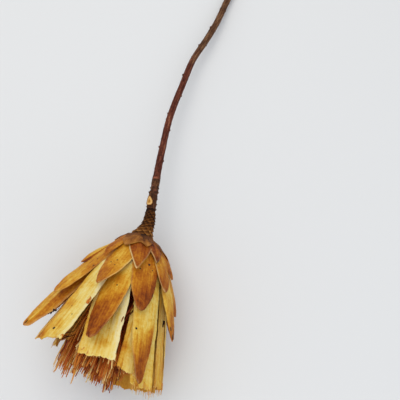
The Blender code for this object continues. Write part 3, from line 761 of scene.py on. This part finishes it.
# bends a copy of the unit strand from root to tip
def bendStrand(item, root, tip, radius, flat, bulge, sway, shade, tipTone):
    direction = (tip - root).normalized()
    side = direction.cross(Vector((0.31, 0.52, 0.79))).normalized()  # any direction that no strand runs in
    other = direction.cross(side)
    toTips = []
    for vertex in item.data.vertices:
        x, y, share = vertex.co
        thin = radius * (1.0 - 0.6 * share ** 1.5)
        centre = root.lerp(tip, share) + bulge * math.sin(math.pi * share)
        centre += (side * sway[0] + other * sway[1]) * math.sin(math.tau * share)
        vertex.co = centre + side * (x * thin) + other * (y * thin * flat)
        toTips.append(tipTone * share ** 1.3)
    setFloats(item.data, "toTip", toTips)
    setFloats(item.data, "shade", [shade] * len(toTips))


# value at a place in a table of (place, value), straight between its entries
def lookUp(table, place):
    for (before, low), (after, high) in zip(table, table[1:]):
        if place <= after:
            return low + (high - low) * min(max((place - before) / (after - before), 0.0), 1.0)
    return table[-1][1]


# tip of a strand at a spread and azimuth, so many mm short of the brush's ragged end
def brushTip(short, spread, azimuth):
    narrowing = 1.0 - brush["narrowing"] * max(-math.sin(azimuth), 0.0)
    mouth = spread * narrowing * (brush["mouthStart"] + brush["mouthSlope"] * brush["mouthAt"])
    distance = lookUp(brush["ends"], mouth * math.sin(azimuth)) - short
    radius = spread * narrowing * (brush["mouthStart"] + brush["mouthSlope"] * distance)
    return bloomPoint(distance, radius, azimuth)


def tuftTips(chance):
    tips = []
    for number in range(brush["tufts"]):
        spread = math.sqrt((number + 0.5) / brush["tufts"])
        azimuth = number * goldenAngle
        flat = Vector((spread * math.cos(azimuth), spread * math.sin(azimuth)))
        # the -X side gets painted light
        tone = chance.uniform(*brush["tuftTones"]) + brush["paintedLight"] * max(-math.sin(azimuth), 0.0) * spread
        tips.append((flat, brushTip(chance.uniform(*brush["tuftShort"]), spread, azimuth), tone))
    return tips


# strands of a kind, drawn together to their tufts
def makeStrands(kind, chance, tufts):
    unit = unitStrand(kind["rings"], kind["sides"])
    scatter, stray, count = brush["rootScatter"], kind["stray"], kind["count"]
    items = []
    for number in range(count):
        spread = math.sqrt(kind["inner"] ** 2 + (1.0 - kind["inner"] ** 2) * (number + 0.5) / count)
        azimuth = number * goldenAngle + chance.uniform(-0.1, 0.1)
        rootDistance = brush["rootCentre"] + (brush["rootRim"] - brush["rootCentre"]) * spread
        rootDistance += chance.uniform(-scatter, scatter)
        root = bloomPoint(rootDistance, spread * brush["rootRadius"], azimuth)
        tip = brushTip(chance.uniform(*kind["short"]), spread * chance.uniform(0.86, 1.0), azimuth)
        root = root.lerp(tip, kind["start"])
        flat = Vector((spread * math.cos(azimuth), spread * math.sin(azimuth)))
        tuft = min(tufts, key=lambda entry: (entry[0] - flat).length)
        tip = tip.lerp(tuft[1], brush["gather"] * chance.uniform(0.4, 1.2))
        tip += Vector([chance.uniform(-stray, stray) for _ in range(3)]) * mm
        bulge = outwardAt(azimuth) * chance.uniform(0.4, 2.2) * mm * spread
        sway = (chance.uniform(-0.8, 0.8) * mm, chance.uniform(-0.8, 0.8) * mm)
        item = copyOf(unit)
        bendStrand(item, root, tip, kind["radius"] * chance.uniform(0.7, 1.35) * mm, chance.uniform(*kind["flat"]),
                   bulge, sway, tuft[2] + chance.uniform(*kind["shade"]), chance.uniform(*kind["tip"]))
        items.append(item)
    enterCopies(items, unit, kind["name"], "florets")


def makeBrush():
    core = turnPiece(brush["core"], floretThread,
                     {"toTip": lambda share, turn: 0.25, "shade": lambda share, turn: 0.0})
    enter(core, "floretCore", "florets")
    chance = random.Random(brush["seed"])
    tufts = tuftTips(chance)
    for kind in brush["strands"]:
        makeStrands(kind, chance, tufts)


makeBrush()
print("brush made")

# small things on the bloom, placed one by one

details = {
    # dark specks, most of them mould and insect marks: layer, bract, share along, place across, half length and width
    # in mm
    "specks": (
        (straps, 0, 0.93, -0.19, 1.0, 0.8), (straps, 0, 0.80, 0.30, 0.4, 0.4), (straps, 0, 0.74, -0.2, 0.35, 0.35),
        (longBracts, 11, 0.69, -0.69, 0.8, 0.8), (longBracts, 1, 0.44, 0.19, 0.9, 0.8),
        (longBracts, 1, 0.53, -0.44, 0.6, 0.5), (longBracts, 1, 0.49, 0.5, 0.5, 0.4),
        (longBracts, 3, 0.59, 0.81, 1.0, 0.7), (longBracts, 3, 0.50, 0.5, 0.5, 0.5),
        (shortBracts, 0, 0.64, -0.31, 0.5, 0.5), (shortBracts, 0, 0.60, 0.1, 0.6, 0.5),
        # the first on longBract10 is a dark patch near its tip
        (shortBracts, 0, 0.68, 0.2, 0.4, 0.4), (longBracts, 9, 0.89, -0.44, 1.6, 0.9),
        (longBracts, 9, 0.96, 0.0, 2.2, 0.7), (straps, 2, 0.86, 0.3, 0.5, 0.4),
        (straps, 1, 0.78, -0.3, 0.5, 0.4), (straps, 3, 0.9, 0.2, 0.6, 0.5), (longBracts, 0, 0.55, 0.1, 0.5, 0.5),
        (longBracts, 10, 0.97, 0.0, 1.6, 1.2), (longBracts, 13, 0.5, 0.1, 0.7, 0.7), (straps, 8, 0.8, 0.0, 0.8, 0.7),
    ),
    "speckProud": 0.28,  # mm that a speck's middle stands off the skin
    "speckHeight": 0.2,
    # loose threads and slivers: start and end in mm, radius, flatness, tone at the start, and tone added at the end
    "threads": (
        ((18.5, -127.5, 70.0), (16.2, -140.4, 79.6), 0.75, 0.4, 0.26, 0.10),
        ((19.6, -131.0, 70.0), (17.4, -139.0, 76.0), 0.45, 0.6, 0.20, 0.10),
        ((-18.6, -159.1, 86.5), (-11.6, -154.1, 74.0), 0.40, 0.8, 0.05, 0.05),
        ((-17.9, -160.0, 85.0), (-12.2, -157.3, 72.0), 0.45, 0.8, 0.08, 0.05),
        ((-15.6, -160.9, 80.0), (-10.6, -155.4, 70.0), 0.40, 0.8, 0.05, 0.10),
        ((-14.6, -156.0, 76.0), (-18.6, -162.0, 82.0), 0.35, 0.8, 0.05, 0.05),
        ((-35.2, -148.4, 60.0), (-28.4, -143.7, 66.0), 0.35, 0.8, 0.00, 0.05),
        ((-28.4, -143.7, 66.0), (-24.4, -135.0, 70.0), 0.16, 1.0, 0.05, 0.00),
        ((-31.3, -145.7, 64.0), (-29.4, -144.0, 65.0), 1.10, 0.6, 0.00, 0.00),
        ((-33.0, -147.4, 62.0), (-32.0, -146.6, 63.0), 0.70, 0.7, 0.00, 0.00),
        ((-7.9, -135.9, 80.3), (-8.1, -131.0, 77.6), 1.10, 0.3, 0.66, 0.10),
        ((-6.8, -134.6, 80.6), (-6.6, -132.4, 79.0), 0.60, 0.4, 0.80, 0.20),
        ((16.6, -150.0, 80.0), (20.0, -168.8, 82.0), 0.95, 0.2, 0.86, 0.14),
        ((15.8, -156.0, 81.0), (17.1, -166.8, 83.0), 0.70, 0.2, 0.80, 0.20),
        ((-4.5, -165.3, 72.0), (-4.5, -185.1, 64.0), 0.85, 0.2, 0.66, 0.22),
        ((-3.1, -167.4, 72.0), (-4.2, -180.1, 64.0), 0.90, 0.2, 0.70, 0.10),
        ((-10.4, -166.9, 70.0), (-11.7, -183.5, 62.0), 0.60, 0.4, 0.45, 0.20),
        ((-13.8, -160.5, 74.0), (-18.4, -174.2, 60.0), 0.60, 0.5, 0.20, 0.15),
        ((-12.4, -160.5, 74.0), (-15.4, -170.2, 64.0), 0.55, 0.5, 0.36, 0.20),
        ((38.7, -129.8, 47.9), (39.3, -134.2, 47.3), 0.80, 0.8, 0.00, 0.00),
    ),
    # frayed fibres on the straps' ends: strap, how many, mm by which the longest passes the shortest
    "frays": ((0, 14, 3.0), (1, 18, 3.5), (2, 14, 3.0), (3, 34, 7.5), (4, 30, 6.0), (5, 20, 5.0), (6, 20, 5.0),
              (8, 16, 4.0), (11, 12, 4.0), (12, 6, 1.5)),
    "frayFrom": 0.975,  # share of the strap's length
    "shortestFray": 2.0,
    "frayRadius": (0.16, 0.42),
    "frayTones": (0.68, 0.86),
    "seed": 31,
}


def makeSpecks():
    # Dark specks, most of them mould and insect marks: near black, dull, standing just proud of the skin
    material, tree, shader = newMaterial("dark mould speck")
    setInputs(tree, shader, {"Base Color": toLinear("#24110a"), "Roughness": 0.8})
    bpy.ops.mesh.primitive_uv_sphere_add(segments=10, ring_count=6, radius=1.0)
    unit = bpy.context.object
    unit.data.materials.append(material)
    items = []
    for layer, index, share, across, along, wide in details["specks"]:
        foot, faceOut, forward = bladePoint(readBlade(layer, index), share, across)
        side = forward.cross(faceOut)
        foot += faceOut * details["speckProud"] * mm
        item = copyOf(unit)
        for vertex in item.data.vertices:
            x, y, z = vertex.co
            vertex.co = foot + (side * x * wide + forward * y * along + faceOut * z * details["speckHeight"]) * mm
        items.append(item)
    enterCopies(items, unit, "darkSpecks", "bracts")


def makeLooseThreads():
    chance = random.Random(details["seed"])
    unit = unitStrand(7, 5)
    items = []
    for start, end, radius, flat, tone, tipTone in details["threads"]:
        item = copyOf(unit)
        bendStrand(item, Vector(start) * mm, Vector(end) * mm, radius * mm, flat, Vector((0.0, 0.0, 0.5 * mm)),
                   (chance.uniform(-0.5, 0.5) * mm, chance.uniform(-0.5, 0.5) * mm), tone, tipTone)
        items.append(item)
    enterCopies(items, unit, "looseThreads", "florets")


def makeFrays():
    chance = random.Random(details["seed"] + 1)
    unit = unitStrand(5, 3)
    items = []
    for index, count, longest in details["frays"]:
        blade = readBlade(straps, index)
        for number in range(count):
            foot, faceOut, forward = bladePoint(blade, details["frayFrom"], chance.uniform(-0.98, 0.98))
            side = forward.cross(faceOut)
            length = details["shortestFray"] + longest * chance.random() ** 2
            tip = foot + (forward * length + side * chance.uniform(-1.2, 1.2)
                          + faceOut * chance.uniform(-0.8, 0.6)) * mm
            item = copyOf(unit)
            bendStrand(item, foot - forward * 1.5 * mm, tip, chance.uniform(*details["frayRadius"]) * mm,
                       chance.uniform(0.3, 0.8), faceOut * chance.uniform(-0.3, 0.3) * mm,
                       (0.0, chance.uniform(-0.3, 0.3) * mm), chance.uniform(*details["frayTones"]), 0.14)
            items.append(item)
    enterCopies(items, unit, "strapFrays", "bracts")


makeSpecks()
makeLooseThreads()
makeFrays()
print("small details made")

# neck

neck = {
    "length": 22.0,
    "radiusStem": 3.7,
    "radiusBloom": 7.9,
    "flare": 3.2,
    "bend": 2.9,
    "rings": 30,
    "sides": 32,
    "around": 35.0,
    "scales": 96,
    "scaleGrid": 8,
    "scaleReach": (0.99, 0.88, 1.15),  # share of the length where the first stands, to the last, and their bunching
    "scaleLength": 2.6,  # mm at the stem
    "scaleWidth": 3.4,
    "scaleGrowth": 3.2,  # mm added to both by the bloom
    "scaleThickness": 0.3,
    "seed": 4,
}


def neckCentre(distance):
    centre = bloomCentre(-distance)
    centre.x -= neck["bend"] * (distance / neck["length"]) ** 2 * mm
    return centre


def neckRadius(distance):
    share = min(max(1.0 - distance / neck["length"], 0.0), 1.0)
    return neck["radiusStem"] + (neck["radiusBloom"] - neck["radiusStem"]) * share ** neck["flare"]


def neckPoint(distance, azimuth, rise):
    slope = 2.0 * neck["bend"] * distance / neck["length"] ** 2
    sideways = (sideAxis - alongAxis * slope).normalized()
    outward = upAxis * math.cos(azimuth) + sideways * math.sin(azimuth)
    return neckCentre(distance) + outward * (neckRadius(distance) + rise) * mm


def makeScaleMaterial():
    # Small scale leaves: dead bark-like skin, worn pale along their tips, and nearly black at their roots: painted
    # shade of the gaps under the scale above
    material, tree, shader = newMaterial("dry scale leaf")
    place = addNode(tree, "TexCoord")
    toTip, shade = (addNode(tree, "Attribute", attribute_name=name).outputs["Fac"] for name in ("toTip", "shade"))
    grain = addNode(tree, "TexNoise", {"Scale": 900.0, "Detail": 4.0, "Vector": place.outputs["Object"]})
    worn = addNode(tree, "Math", {0: grain, 1: 0.5, 2: -0.25}, operation="MULTIPLY_ADD")
    wornTip = addNode(tree, "Math", {0: toTip, 1: worn}, operation="ADD")
    tone = addNode(tree, "Math", {0: wornTip, 1: shade}, operation="ADD", use_clamp=True)
    ramp = addNode(tree, "ValToRGB", {"Fac": tone},
                   ((0.0, "#120703"), (0.35, "#351b0a"), (0.62, "#653c16"), (0.85, "#965f28"), (1.0, "#be8f50")))
    bump = addNode(tree, "Bump", {"Strength": 0.5, "Distance": 0.2 * mm, "Height": grain})
    setInputs(tree, shader, {"Base Color": ramp, "Roughness": 0.8, "Specular IOR Level": 0.1, "Normal": bump})
    return material


def makeNeck():
    material = makeScaleMaterial()
    items = [rollTube(neck, lambda share, turn: neckPoint(neck["length"] * (1.0 - share), turn, -0.2), material,
                      {"toTip": lambda share, turn: 0.15, "shade": lambda share, turn: 0.0})]
    bpy.ops.mesh.primitive_grid_add(x_subdivisions=neck["scaleGrid"], y_subdivisions=neck["scaleGrid"], size=2.0)
    unit = bpy.context.object
    unit.data.materials.append(material)
    chance = random.Random(neck["seed"])
    first, reach, bunching = neck["scaleReach"]
    for number in range(neck["scales"]):
        share = (number + 0.5) / neck["scales"]
        distance = neck["length"] * (first - reach * share ** bunching)
        azimuth = number * goldenAngle
        length = neck["scaleLength"] + neck["scaleGrowth"] * share + chance.uniform(-0.3, 0.3)
        width = neck["scaleWidth"] + neck["scaleGrowth"] * share
        lift = 0.30 + 0.15 * share
        flatness = 0.6 + 0.4 * min(4.0 * share, 1.0)  # the first scales lie close on the stem
        root = 0.14 + 0.2 * max(1.0 - 8.0 * share, 0.0)  # and are as pale as the bark where they meet it
        item = copyOf(unit)
        tips = []
        for vertex in item.data.vertices:
            across, along = vertex.co.x, 0.5 * (vertex.co.y + 1.0)
            half = 0.5 * width * max(1.0 - along ** 3.4, 0.05)
            around = across * half / neckRadius(distance)
            rise = -0.5 + (lift + 0.95 * along) * along * flatness - 0.2 * across * across * along
            vertex.co = neckPoint(distance - along * length, azimuth + around, rise)
            # dark at the root, painted shade under the scale above; paler towards the tip
            tips.append(root + 0.55 * along ** 2.0 + 0.1 * abs(across) * along)
        setFloats(item.data, "toTip", tips)
        setFloats(item.data, "shade", [0.38 * share - 0.17 + chance.uniform(-0.10, 0.10)] * len(tips))
        thicken(item, thickness=neck["scaleThickness"] * mm)
        items.append(item)
    enterCopies(items, unit, "scaleLeaves", "scaly_neck")


makeNeck()
print("neck made")

# stem

stem = {
    "route": (
        (-2.9, 22.2, -2.7), (-6.5, 45.0, -5.3), (-10.5, 72.0, -8.3), (-14.0, 105.0, -12.0), (-13.5, 140.0, -15.9),
        (-12.5, 165.0, -18.8), (-7.5, 190.0, -21.6), (-4.0, 212.0, -24.1), (-2.0, 238.0, -27.1), (0.5, 262.0, -30.0),
    ),
    "length": 248.0,
    "radiusTop": 3.7,
    "radiusMid": 2.55,
    "radiusEnd": 2.85,
    "rings": 560,
    "sides": 36,
    "around": math.tau * 2.8,
    "collar": 0.115,  # share along where the red shoot begins
    "collarSwell": (0.35, 0.012),  # mm, and over which share
    "joint": 0.838,
    "jointSwell": (0.25, 0.004),
    "tanning": (0.40, 0.3),  # from which share the shoot turns tan, and over which share
    "seed": 8,
    # small leaf scars: from and to which share along, how many, the least and greatest size in mm
    "leafScars": ((0.0, 0.11, 30, 0.6, 1.1), (0.12, 0.98, 46, 0.55, 1.05)),
    # larger ones: share along, turn in degrees, size
    "knobs": (
        (0.066, 280, 1.5), (0.472, 280, 1.3), (0.623, 290, 1.2), (0.729, 300, 1.3), (0.085, 60, 1.3), (0.002, 96, 1.0),
        (0.149, 30, 1.2), (0.19, 85, 1.1), (0.235, 270, 1.2), (0.29, 80, 1.1), (0.34, 275, 1.0), (0.40, 85, 1.1),
    ),
    # pale and dark spots: share, turn in degrees, half length and half width in mm, paler or darker by
    "marks": (
        # the first, a narrow pale patch on top of the collar, is a painted highlight
        (0.1215, 350, 1.0, 2.4, 0.75), (0.1165, 0, 0.4, 9.0, -0.8), (0.545, 330, 0.8, 0.8, 0.8),
        (0.838, 0, 0.45, 9.0, -0.5), (0.205, 10, 0.7, 0.9, -0.7), (0.17, 345, 4.0, 1.2, -0.35),
        (0.075, 20, 1.2, 1.4, 0.35), (0.092, 330, 1.0, 1.0, 0.4), (0.06, 45, 0.9, 1.2, 0.4),
    ),
    # where a side shoot was pruned: share, turn and slant in degrees, half length and half width in mm
    "scar": {"share": 0.0265, "turn": 328, "slant": -14, "halfLength": 5.9, "halfWidth": 2.9},
    "cutWood": {"sides": 36, "around": 16.0, "length": 5.0},
}
stemRoute = [Vector(point) for point in stem["route"]]


def stemPoint(share):
    return bloom["base"] + curveThrough(stemRoute, share) * mm


def stemFrame(share):
    direction = (stemPoint(min(share + 0.004, 1.0)) - stemPoint(max(share - 0.004, 0.0))).normalized()
    sideways = direction.cross(Vector((0.0, 0.0, 1.0))).normalized()
    return direction, sideways, sideways.cross(direction)


def stemRadius(share):
    radius = stem["radiusMid"] + (stem["radiusEnd"] - stem["radiusMid"]) * share
    radius += (stem["radiusTop"] - stem["radiusMid"]) * math.exp(-share / 0.10)
    for name in ("collar", "joint"):
        height, over = stem[name + "Swell"]
        radius += height * math.exp(-(((share - stem[name]) / over) ** 2))
    return radius


# how rough the bark is: old leaf bases near the neck, then smooth
def barkRise(share, turn):
    along = share * stem["length"]
    ring = Vector((math.cos(turn) * 1.5, math.sin(turn) * 1.5, along / 2.2))
    ridges = Vector((math.cos(turn) * 3.0, math.sin(turn) * 3.0, along / 26.0))
    rough = math.exp(-share / 0.07)
    sunk = 0.35 * math.exp(-share / 0.01)  # the stem's root lies inside the neck
    return 0.14 * noise.noise(ridges) + (0.12 + 0.55 * rough) * noise.noise(ring) - sunk


# paler above 0, darker below
def barkMark(share, turn):
    value = 0.0
    for place, degrees, halfLength, halfWidth, amount in stem["marks"]:
        along = (share - place) * stem["length"]
        around = math.remainder(turn - math.radians(degrees), math.tau) * stemRadius(share)
        value += amount * math.exp(-(along / halfLength) ** 2 - (around / halfWidth) ** 2)
    return value


def barkPoint(share, turn, rise):
    direction, sideways, upward = stemFrame(share)
    outward = upward * math.cos(turn) + sideways * math.sin(turn)
    return stemPoint(share) + outward * (stemRadius(share) + rise) * mm, outward, direction


def makeBarkMaterial():
    # Thin dry bark: a dull reddish-brown skin with fine streaks, darker and rougher on the old growth
    material, tree, shader = newMaterial("dry shoot bark")
    skin = addNode(tree, "Attribute", attribute_name="skin").outputs["Vector"]
    age, mark = (addNode(tree, "Attribute", attribute_name=name).outputs["Fac"] for name in ("age", "mark"))
    # streaks about 1 mm across and 9 mm long, grain of half a millimetre, and patches; the attribute skin is in mm
    patterns = []
    for scale, detail, rough in (
            ((0.9, 0.9, 0.11), 5.0, 0.65), ((1.6, 1.6, 0.8), 3.0, 0.7), ((0.25, 0.25, 0.08), 3.0, 0.5)):
        place = addNode(tree, "Mapping", {"Scale": scale, "Vector": skin})
        patterns.append(addNode(tree, "TexNoise", {"Scale": 1.0, "Detail": detail, "Roughness": rough,
                                                   "Vector": place}))
    streaks, grain, patches = patterns
    grainShift = addNode(tree, "Math", {0: grain, 1: 0.7, 2: -0.35}, operation="MULTIPLY_ADD")
    tone = addNode(tree, "Math", {0: streaks, 1: grainShift}, operation="ADD")
    old, young, tanned = (addNode(tree, "ValToRGB", {"Fac": tone}, stops) for stops in (
        ((0.25, "#1a0d07"), (0.48, "#432614"), (0.62, "#673f24"), (0.8, "#9e7046")),
        ((0.25, "#280d06"), (0.45, "#4a1d11"), (0.60, "#6c3725"), (0.8, "#a06a4c")),
        ((0.25, "#2e180c"), (0.48, "#54351f"), (0.62, "#765236"), (0.8, "#a88058")),
    ))
    ageShift = addNode(tree, "Math", {0: patches, 1: 0.5, 2: -0.25}, operation="MULTIPLY_ADD")
    aged = addNode(tree, "Math", {0: age, 1: ageShift}, operation="ADD", use_clamp=True)
    toYoung = addNode(tree, "MapRange", {"From Min": 0.15, "From Max": 0.45, "Value": aged})
    toTanned = addNode(tree, "MapRange", {"From Min": 0.6, "From Max": 0.9, "Value": aged})
    depth = addNode(tree, "Math", {0: mark, 1: -1.0}, operation="MULTIPLY", use_clamp=True)
    colour = old
    # a mark above 0 turns the bark pale red, which on the collar's top is a painted highlight
    for amount, over in (
            (toYoung, young), (toTanned, tanned), (mark, toLinear("#a8644a")), (depth, toLinear("#150804"))):
        colour = addNode(tree, "Mix", {0: amount, 6: colour, 7: over}, data_type="RGBA").outputs[2]
    bump = addNode(tree, "Bump", {"Strength": 0.7, "Distance": 0.3 * mm, "Height": tone})
    setInputs(tree, shader, {"Base Color": colour, "Roughness": 0.65, "Specular IOR Level": 0.15, "Normal": bump})
    return material


def makeCutWoodMaterial():
    # Snipped wood: pale, dry and matt, with a darker pith in the middle and the bark's dark lip round it.
    # The attribute ring runs from the middle, 0, to the lip, 1
    material, tree, shader = newMaterial("snipped dry wood")
    place = addNode(tree, "TexCoord")
    ring = addNode(tree, "Attribute", attribute_name="ring").outputs["Fac"]
    grain = addNode(tree, "TexNoise", {"Scale": 1100.0, "Detail": 3.0, "Vector": place.outputs["Object"]})
    shift = addNode(tree, "Math", {0: grain, 1: 0.24, 2: -0.12}, operation="MULTIPLY_ADD")
    tone = addNode(tree, "Math", {0: ring, 1: shift}, operation="ADD", use_clamp=True)
    # the palest stop, a band at 0.60 between pith and lip, is a painted highlight
    ramp = addNode(tree, "ValToRGB", {"Fac": tone},
                   ((0.0, "#84501e"), (0.16, "#b47c38"), (0.40, "#cc9a50"), (0.60, "#e4c080"), (0.76, "#b8854a"),
                    (0.86, "#5c3418"), (1.0, "#2c170c")))
    setInputs(tree, shader, {"Base Color": ramp, "Roughness": 0.8, "Specular IOR Level": 0.1})
    return material


# 0 for the dark old growth by the bloom, 0.5 for the red shoot, 1 for the tan end
def barkAge(share, turn):
    start, over = stem["tanning"]
    return 0.5 * smoothStep((share - stem["collar"] + 0.01) / 0.03) + 0.5 * smoothStep((share - start) / over)


def makeStem():
    bark = makeBarkMaterial()
    items = [rollTube(stem, lambda share, turn: barkPoint(share, turn, barkRise(share, turn))[0], bark,
                      {"age": barkAge, "mark": barkMark})]
    bpy.ops.mesh.primitive_uv_sphere_add(segments=12, ring_count=8, radius=1.0)
    unit = bpy.context.object
    unit.data.materials.append(bark)
    chance = random.Random(stem["seed"])
    skinRadius = stem["around"] / math.tau
    places = [(share, math.radians(degrees), size) for share, degrees, size in stem["knobs"]]
    for first, last, count, smallest, largest in stem["leafScars"]:
        for number in range(count):
            share = first + (last - first) * (number + chance.uniform(0.1, 0.9)) / count
            places.append((share, number * goldenAngle, chance.uniform(smallest, largest)))
    for share, turn, size in places:
        foot, outward, direction = barkPoint(share, turn, -0.25)
        across = direction.cross(outward)
        item = copyOf(unit)
        skins, marks = [], []
        for vertex in item.data.vertices:
            x, y, z = vertex.co
            rise = max(z, -0.2) * (0.75 + 0.45 * x) * size
            vertex.co = foot + (direction * (x * 0.8 * size) + across * (y * 1.15 * size) + outward * rise) * mm
            skins.append((math.cos(turn) * skinRadius + y, math.sin(turn) * skinRadius + z, share * stem["length"] + x))
            marks.append(-0.6 * smoothStep(x + 0.3 * z))
        setFloats(item.data, "age", [barkAge(share, 0.0) - 0.2] * len(marks))
        setFloats(item.data, "mark", marks)
        setVectors(item.data, "skin", skins)
        items.append(item)
    enterCopies(items, unit, "stemBark", "stem")


# point on the pruned shoot's scar: a teardrop of bare wood in a raised lip, its edge sunk in the bark
def scarPoint(ring, turn):
    scar = stem["scar"]
    along = scar["halfLength"] * math.cos(turn) * (1.0 + 0.15 * math.cos(turn)) * ring
    across = scar["halfWidth"] * math.sin(turn) * (1.0 - 0.2 * math.cos(turn)) * ring
    share = scar["share"] + along / stem["length"]
    around = math.radians(scar["turn"] + scar["slant"] * along / scar["halfLength"]) + across / stemRadius(share)
    rise = 0.4 - 0.25 * math.exp(-(ring / 0.12) ** 2) + 0.4 * math.exp(-((ring - 0.86) / 0.06) ** 2)
    return barkPoint(share, around, rise - 1.5 * smoothStep((ring - 0.88) / 0.12))[0]


# point on the cut end, just proud of the bark's own end
def endPoint(ring, turn):
    edge, _, direction = barkPoint(1.0, turn, 0.0)
    reach = 0.96 * min(ring / 0.9, 1.0)
    return stemPoint(1.0).lerp(edge, reach) + direction * (0.06 - 4.0 * max(ring - 0.9, 0.0)) * mm


def makeCutWood():
    wood = makeCutWoodMaterial()
    for name, rings, placeAt, reach in (("prunedScar", 22, scarPoint, 1.0), ("stemCutEnd", 10, endPoint, 0.66)):
        item = rollTube({**stem["cutWood"], "rings": rings}, placeAt, wood, {"ring": lambda share, turn: reach * share})
        enter(item, name, "stem")


makeStem()
makeCutWood()
print("stem made")
